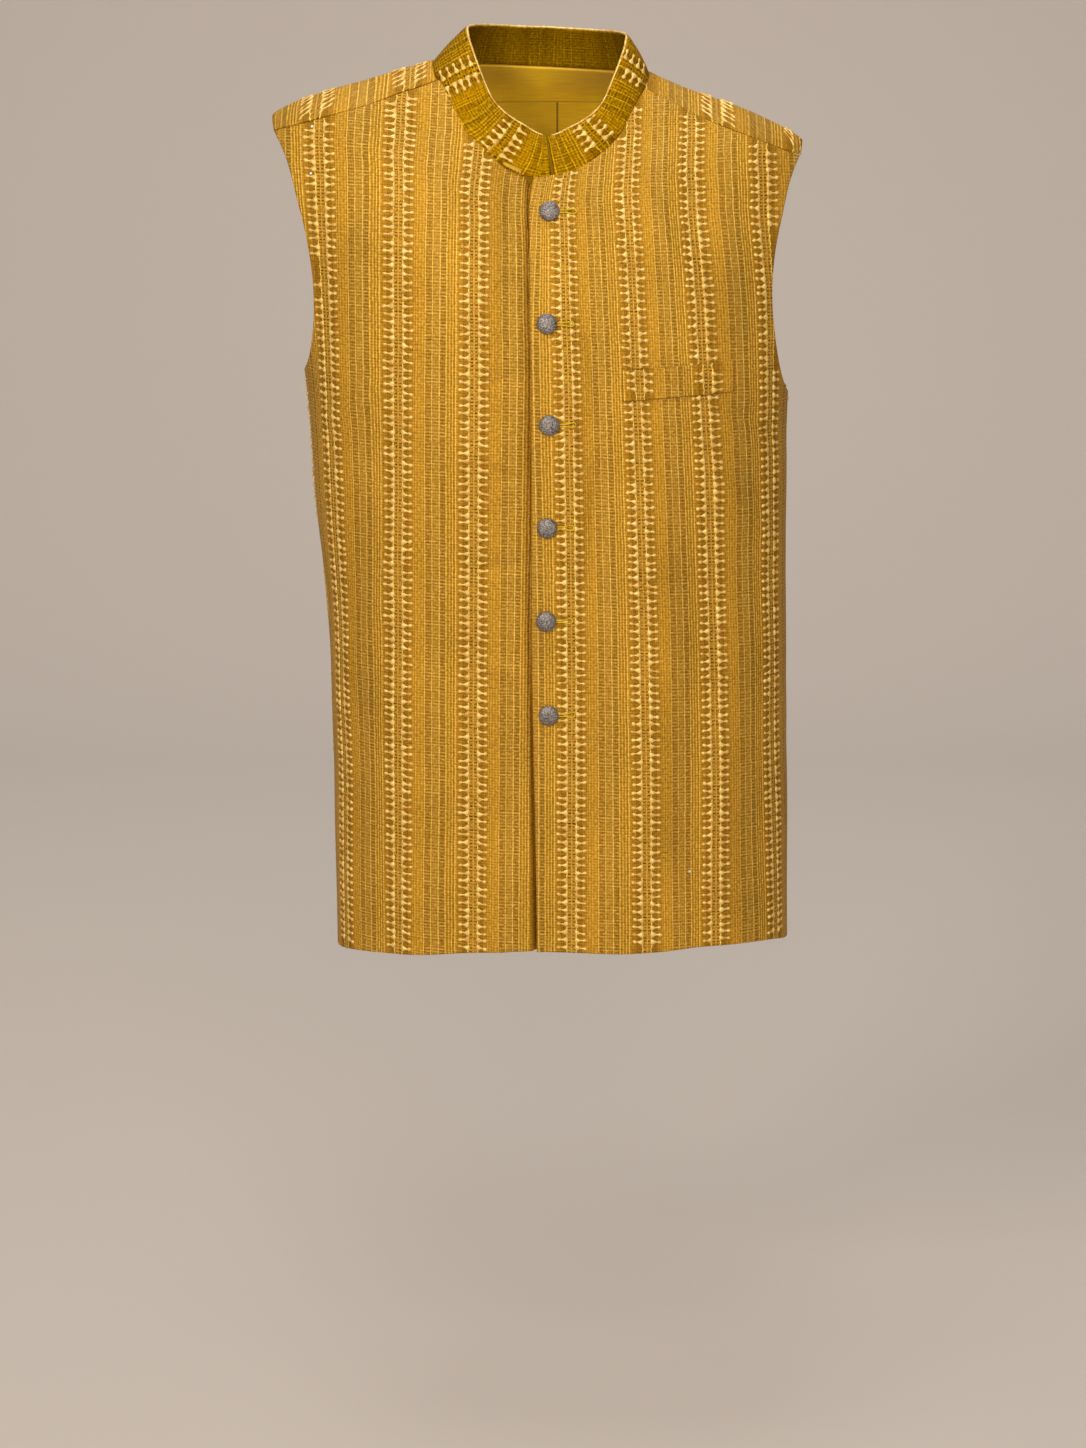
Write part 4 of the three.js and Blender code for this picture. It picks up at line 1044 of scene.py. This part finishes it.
def toothPoints(shell, rng, side, middle, j, i, margin):
    # half rings along each tooth, placed by pattern coordinates and raised along the cloth's normal; a
    # tooth nearer to the cloth's edge than the margin is left off
    uv, shape, ring = shell["uv"], tooth["shape"], tooth["ring"]
    size = 1 + tooth["size"] * rng.uniform(-1, 1, (len(j), 1))
    slant = tooth["turn"] * rng.uniform(-1, 1, (len(j), 1))
    reach = shape[None, :, 0] * (1 + tooth["stretch"] * rng.uniform(-1, 1, (len(j), 1)))
    reach = reach[:, :, None] + 0 * ring[None, None, :, 0]
    wide = (shape[:, 1, None] * ring[None, :, 0])[None] * size[..., None]
    profile = np.where(ring[:, 1] > 0, shape[:, 2, None] * ring[None, :, 1], -tooth["sunk"])
    flat = pairs(middle[:, 0, None, None] + side[:, None, None] * reach,
                 middle[:, 1, None, None] + wide + slant[..., None] * (reach - tooth["middle"]))
    rowAt, columnAt = locate(uv, flat, j[:, None, None] + 0 * wide, i[:, None, None] + 0 * wide)
    normals = shell["normals"][j, i]
    raised = profile[None] * size[..., None]
    points = readGrid(shell["outer"], rowAt, columnAt) + normals[:, None, None] * raised[..., None]
    far = readGrid(shell["distance"][..., None], rowAt, columnAt)[..., 0] > margin
    far &= (rowAt > 0) & (rowAt < uv.shape[0] - 1) & (columnAt > 0) & (columnAt < uv.shape[1] - 1)
    whole = far.all(axis=(1, 2))
    return points[whole], normals[whole]


def toothFaces(points, normals, first):
    # each tooth's faces, turned over where its rings run the other way round
    rings, around = points.shape[1:3]
    across, ahead = points[:, 3, 3] - points[:, 3, 1], points[:, 5, 2] - points[:, 1, 2]
    outward = (np.cross(across, ahead) * normals).sum(axis=1)[:, None, None] > 0
    starts = first + np.arange(len(points))[:, None, None] * rings * around
    faces = []
    for corners in loft(rings, around):
        each = np.where(outward, starts + corners, starts + corners[:, ::-1])
        faces += each.reshape(-1, corners.shape[1]).tolist()
    return faces


def combTeeth(name, shellNames, seed, keep=None, margin=1.0):
    # raised teeth of gilt thread along the combs of the named cloth pieces
    rng = np.random.default_rng(seed)
    vertices, faces, first = [], [], 0
    for shellName in shellNames:
        shell = shells[shellName]
        points, normals = toothPoints(shell, rng, *toothPlaces(shell, rng, keep), margin)
        faces += toothFaces(points, normals, first)
        vertices.append(points.reshape(-1, 3))
        first += len(vertices[-1])
    print(name, "made of", first // (len(tooth["shape"]) * len(tooth["ring"])), "teeth")
    return makeMesh(name, np.concatenate(vertices), faces, (gold,))


def circle(normal, around):
    # unit circle about a normal: cosine along the level direction beside it, sine square to both
    side = np.cross([0, 0, 1.0], normal)
    side /= np.linalg.norm(side, axis=-1, keepdims=True)
    turn = np.linspace(0, 2 * math.pi, around, endpoint=False)[:, None]
    return np.cos(turn) * side[..., None, :] + np.sin(turn) * np.cross(normal, side)[..., None, :]


# Domed buttons on shanks in millimetres, and where they stand: x and height
button = {
    "radius": 8.3, "rim": 1.3, "dome": 4.4, "shank": 1.2, "shankRadius": 2.2, "fullness": 0.9,
    "pole": 0.001, "faceRings": 14, "rimRings": 5, "around": 48,
    "places": np.array([(3.8, -99.8), (1.0, -187.5), (1.7, -267.7), (0, -351), (-0.7, -427.9),
                        (1.4, -506.3)]),
}


def buttonPiece(name, x, z):
    # a profile of radius and height, carried round the button's axis: shank, round rim and crowned face
    point, normal, _ = leftFrontAt(np.array(x), np.array(z))
    r, rim, dome, shank = (button[key] for key in ("radius", "rim", "dome", "shank"))
    face = np.linspace(0, 1, button["faceRings"])[1:] * math.pi / 2
    edge = np.linspace(-math.pi / 2, 0, button["rimRings"])
    stem = [button["pole"], button["shankRadius"], button["shankRadius"]]
    radius = np.concatenate([stem, r - rim / 2 + rim / 2 * np.cos(edge),
                             r * np.cos(face) ** button["fullness"] + button["pole"]])
    height = np.concatenate([[0, 0, shank], shank + rim / 2 * (1 + np.sin(edge)),
                             shank + rim / 2 + (dome - rim / 2) * np.sin(face)])
    ring = circle(normal, button["around"])
    base = point + normal * form["layerGap"]
    points = base + ring * radius[:, None, None] + normal * height[:, None, None]
    sides, _ = loft(len(radius), button["around"])
    return makeMesh(name, points, sides.tolist(), (metal,))


def tube(name, path, normals, radius, material, around=8):
    # rings of points round a path
    ahead = np.gradient(path, axis=0)
    ahead /= np.linalg.norm(ahead, axis=1, keepdims=True)
    beside = np.cross(ahead, normals)
    beside /= np.linalg.norm(beside, axis=1, keepdims=True)
    above = np.cross(beside, ahead)
    turn = np.linspace(0, 2 * math.pi, around, endpoint=False)[:, None]
    ring = np.cos(turn) * beside[:, None] + np.sin(turn) * above[:, None]
    sides, caps = loft(len(path), around)
    return makeMesh(name, path[:, None] + radius[:, None, None] * ring,
                    sides[:, ::-1].tolist() + caps[:, ::-1].tolist(), (material,))


# Buttonhole: a worked loop beside the button, in millimetres from the button's middle
hole = {"from": 5.5, "to": 19.5, "half": 0.9, "spread": 1.1, "thread": 0.6, "above": 1.45, "stitch": 1.2,
        "bumps": 0.25}


def buttonholePiece(name, x, z):
    # out along the upper edge, round the end and back; the thread's thickness waves stitch by stitch
    run = np.linspace(0, 1, 60)
    half = hole["half"] + hole["spread"]
    out = pairs(hole["from"] + (hole["to"] - hole["from"]) * run,
                hole["half"] + hole["spread"] * smooth(run * 2 - 1))
    bend = np.linspace(math.pi / 2, -math.pi / 2, 14)[1:-1]
    turnRound = pairs(hole["to"] + half * np.cos(bend), half * np.sin(bend))
    flat = np.concatenate([out, turnRound, out[::-1] * (1, -1)])
    points, normals, _ = leftFrontAt(x + flat[:, 0], z + flat[:, 1] + form["tilt"] * flat[:, 0])
    length = np.pad(np.linalg.norm(np.diff(flat, axis=0), axis=1).cumsum(), (1, 0))
    radius = hole["thread"] * (1 + hole["bumps"] * np.sin(2 * math.pi * length / hole["stitch"]))
    return tube(name, points + normals * hole["above"], normals, radius, greenThread)


# Gilt tube along the collar's top edge, a painted highlight of its fold, in millimetres, and how many columns
# it keeps off the slit
collarHighlightEdge = {"radius": 0.95, "uneven": 0.28, "above": 0.1, "skip": 4, "seed": 12}


def collarHighlightEdgePiece(name):
    # a gilt tube over the collar's top fold, uneven along its length: a painted highlight of the fold
    skip = collarHighlightEdge["skip"]
    path = shells["collarBand"]["outer"][-1, skip:-skip] + [0, 0, collarHighlightEdge["above"]]
    normals = np.tile([0.0, 0, 1], (len(path), 1))
    rng = np.random.default_rng(collarHighlightEdge["seed"])
    radius = collarHighlightEdge["radius"] + collarHighlightEdge["uneven"] * rng.uniform(-1, 1, len(path))
    return tube(name, path, normals, radius, gold)


# Sequins in millimetres, and where they lie: x and height
sequin = {
    "radius": 1.0, "thick": 0.5, "above": 0.4, "around": 12,
    "places": np.array([(-190.5, -34.0), (-192.5, -70.0), (119.0, -641.0)]),
}


def sequinPiece(name):
    # flat discs on those points of the cloth that are nearest to their places, seen from the front
    shown = [shells[shellName] for shellName in ("rightFront", "leftFront", "backPanel")]
    outer, normals = (np.concatenate([shell[key].reshape(-1, 3) for shell in shown])
                      for key in ("outer", "normals"))
    ahead = np.flatnonzero(outer[:, 1] < 0)
    away = np.linalg.norm(outer[None, ahead][..., [0, 2]] - sequin["places"][:, None], axis=2)
    nearest = ahead[away.argmin(axis=1)]
    point, normal = outer[nearest], normals[nearest]
    ring = circle(normal, sequin["around"])
    low = (point + normal * sequin["above"])[:, None] + ring * sequin["radius"]
    points = np.concatenate([low, low + normal[:, None] * sequin["thick"]], axis=1)
    first = np.arange(len(points))[:, None, None] * 2 * sequin["around"]
    faces = []
    for corners in loft(2, sequin["around"]):
        faces += (first + corners).reshape(-1, corners.shape[1]).tolist()
    return makeMesh(name, points, faces, (foil,), smoothFaces=False)


def fit(piece, slotName, *nodes):
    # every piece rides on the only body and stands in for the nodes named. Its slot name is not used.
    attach(piece, "root")
    if nodes:
        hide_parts(*nodes)
    return piece


def underEdge(z):
    # x of the right front's edge, which is hidden
    return placketEdge(z) + placket["underlap"]


def shownOnRight(points):
    # the right front's teeth stop short of the left front's edge
    return points[..., 0] < placketEdge(points[..., 2]) - placket["toothless"]


leftFront = fit(frontPiece("leftFront", 1, placketEdge), "gold_cloth", "front_left")
rightFront = fit(frontPiece("rightFront", -1, underEdge), "gold_cloth", "front_right")
back = fit(backPiece("backPanel"), "gold_cloth", "back")
backLining = fit(liningPiece("backLining"), "lining_silk", "back_lining")
collarBand = fit(collarPiece("collarBand"), "gold_cloth", "collar")
chestWelt = fit(weltPiece("chestWelt"), "gold_cloth", "pocket_welt")

print("cloth made")

fit(combTeeth("leftTeeth", ["leftFront"], 1), "gold_cloth")
fit(combTeeth("rightTeeth", ["rightFront"], 2, shownOnRight), "gold_cloth")
fit(combTeeth("backTeeth", ["backPanel"], 3), "gold_cloth")
fit(combTeeth("trimTeeth", ["collarBand", "chestWelt"], 4, margin=0.15), "gold_cloth")
fit(collarHighlightEdgePiece("collarHighlightEdge"), "gold_cloth")
fit(sequinPiece("sequins"), "gold_cloth")
for k, (x, z) in enumerate(button["places"]):
    fit(buttonPiece(f"button{k + 1}", x, z), "aged_metal", f"button_{k + 1}")
    fit(buttonholePiece(f"buttonhole{k + 1}", x, z), "gold_cloth")
print("details made")

# Camera: lens and sensor in millimetres, its place, and how many degrees it looks down
view = {"lens": 85, "sensor": 36, "place": (-3.3, -2862, 50), "down": 11.6}
camera = bpy.data.objects.new("camera", bpy.data.cameras.new("camera"))
bpy.context.scene.collection.objects.link(camera)
camera.data.lens, camera.data.sensor_width = view["lens"], view["sensor"]
camera.location = np.array(view["place"]) * mm
camera.rotation_euler = (math.radians(90 - view["down"]), 0, 0)
bpy.context.scene.camera = camera

# Studio: a pale floor that curves up into the backdrop, and soft lights; metres and watts
studio = {
    "floor": -1.22, "wall": 4.4, "bend": 1.4, "half": 7.0, "near": -5.5, "top": 3.6,
    "paper": "#CAC0B7", "matt": 0.95,
    "lights": (  # place, size, power, colour, and what it is turned to
        ((-2.4, -4.3, 1.8), 1.2, 114, "#FFF4E4", (0, 0, -0.4)),
        ((1.2, -4.4, 0.1), 1.8, 46, "#FFF3E6", (0, 0, -0.4)),
        ((-0.2, -0.9, 1.9), 0.9, 12, "#FFFFFF", (0, 0, -0.36)),
        ((0.0, -2.7, 1.5), 1.0, 24, "#FFF6EA", (0, 0, -0.2)),
        ((0.0, 1.6, 3.4), 2.4, 84, "#FFFFFF", (0, 3.4, -0.6)),
    ),
    "air": "#F4EEE8", "ambient": 0.27,
}


def backdropPaper():
    # uncoated paper, matt, so that it shows no lights
    material, _, shader = newMaterial("backdropPaper")
    shader.inputs["Base Color"].default_value = colour(studio["paper"])
    shader.inputs["Roughness"].default_value = studio["matt"]
    return material


def makeBackdrop():
    # a level floor, a quarter circle and an upright wall, carried across
    floor, wall, bend = studio["floor"], studio["wall"], studio["bend"]
    turn = np.linspace(0, math.pi / 2, 16)
    y = np.concatenate([[studio["near"]], wall - bend + bend * np.sin(turn), [wall]])
    z = np.concatenate([[floor], floor + bend * (1 - np.cos(turn)), [studio["top"]]])
    x = np.array([-studio["half"], studio["half"]])
    points = np.stack(np.broadcast_arrays(x[None], y[:, None], z[:, None]), axis=-1)
    k = np.arange(len(y) - 1) * 2
    faces = np.stack([k, k + 1, k + 3, k + 2], axis=1)
    makeMesh("floor", points / mm, faces.tolist(), (backdropPaper(),))


def makeLights():
    # square soft lights, each turned to its target, and a faint even light from all round
    for number, (place, size, power, tint, target) in enumerate(studio["lights"]):
        light = bpy.data.lights.new(f"light{number}", "AREA")
        light.size, light.energy, light.color = size, power, colour(tint)[:3]
        lamp = bpy.data.objects.new(f"light{number}", light)
        bpy.context.scene.collection.objects.link(lamp)
        lamp.location = place
        lamp.rotation_euler = Vector(np.array(place) - np.array(target)).to_track_quat("Z", "Y").to_euler()
    world = bpy.data.worlds.new("studioAir")
    world.use_nodes = True
    air = world.node_tree.nodes["Background"]
    air.inputs["Color"].default_value = colour(studio["air"])
    air.inputs["Strength"].default_value = studio["ambient"]
    bpy.context.scene.world = world
    bpy.context.scene.view_settings.view_transform = "Standard"


makeBackdrop()
makeLights()
print("studio made")
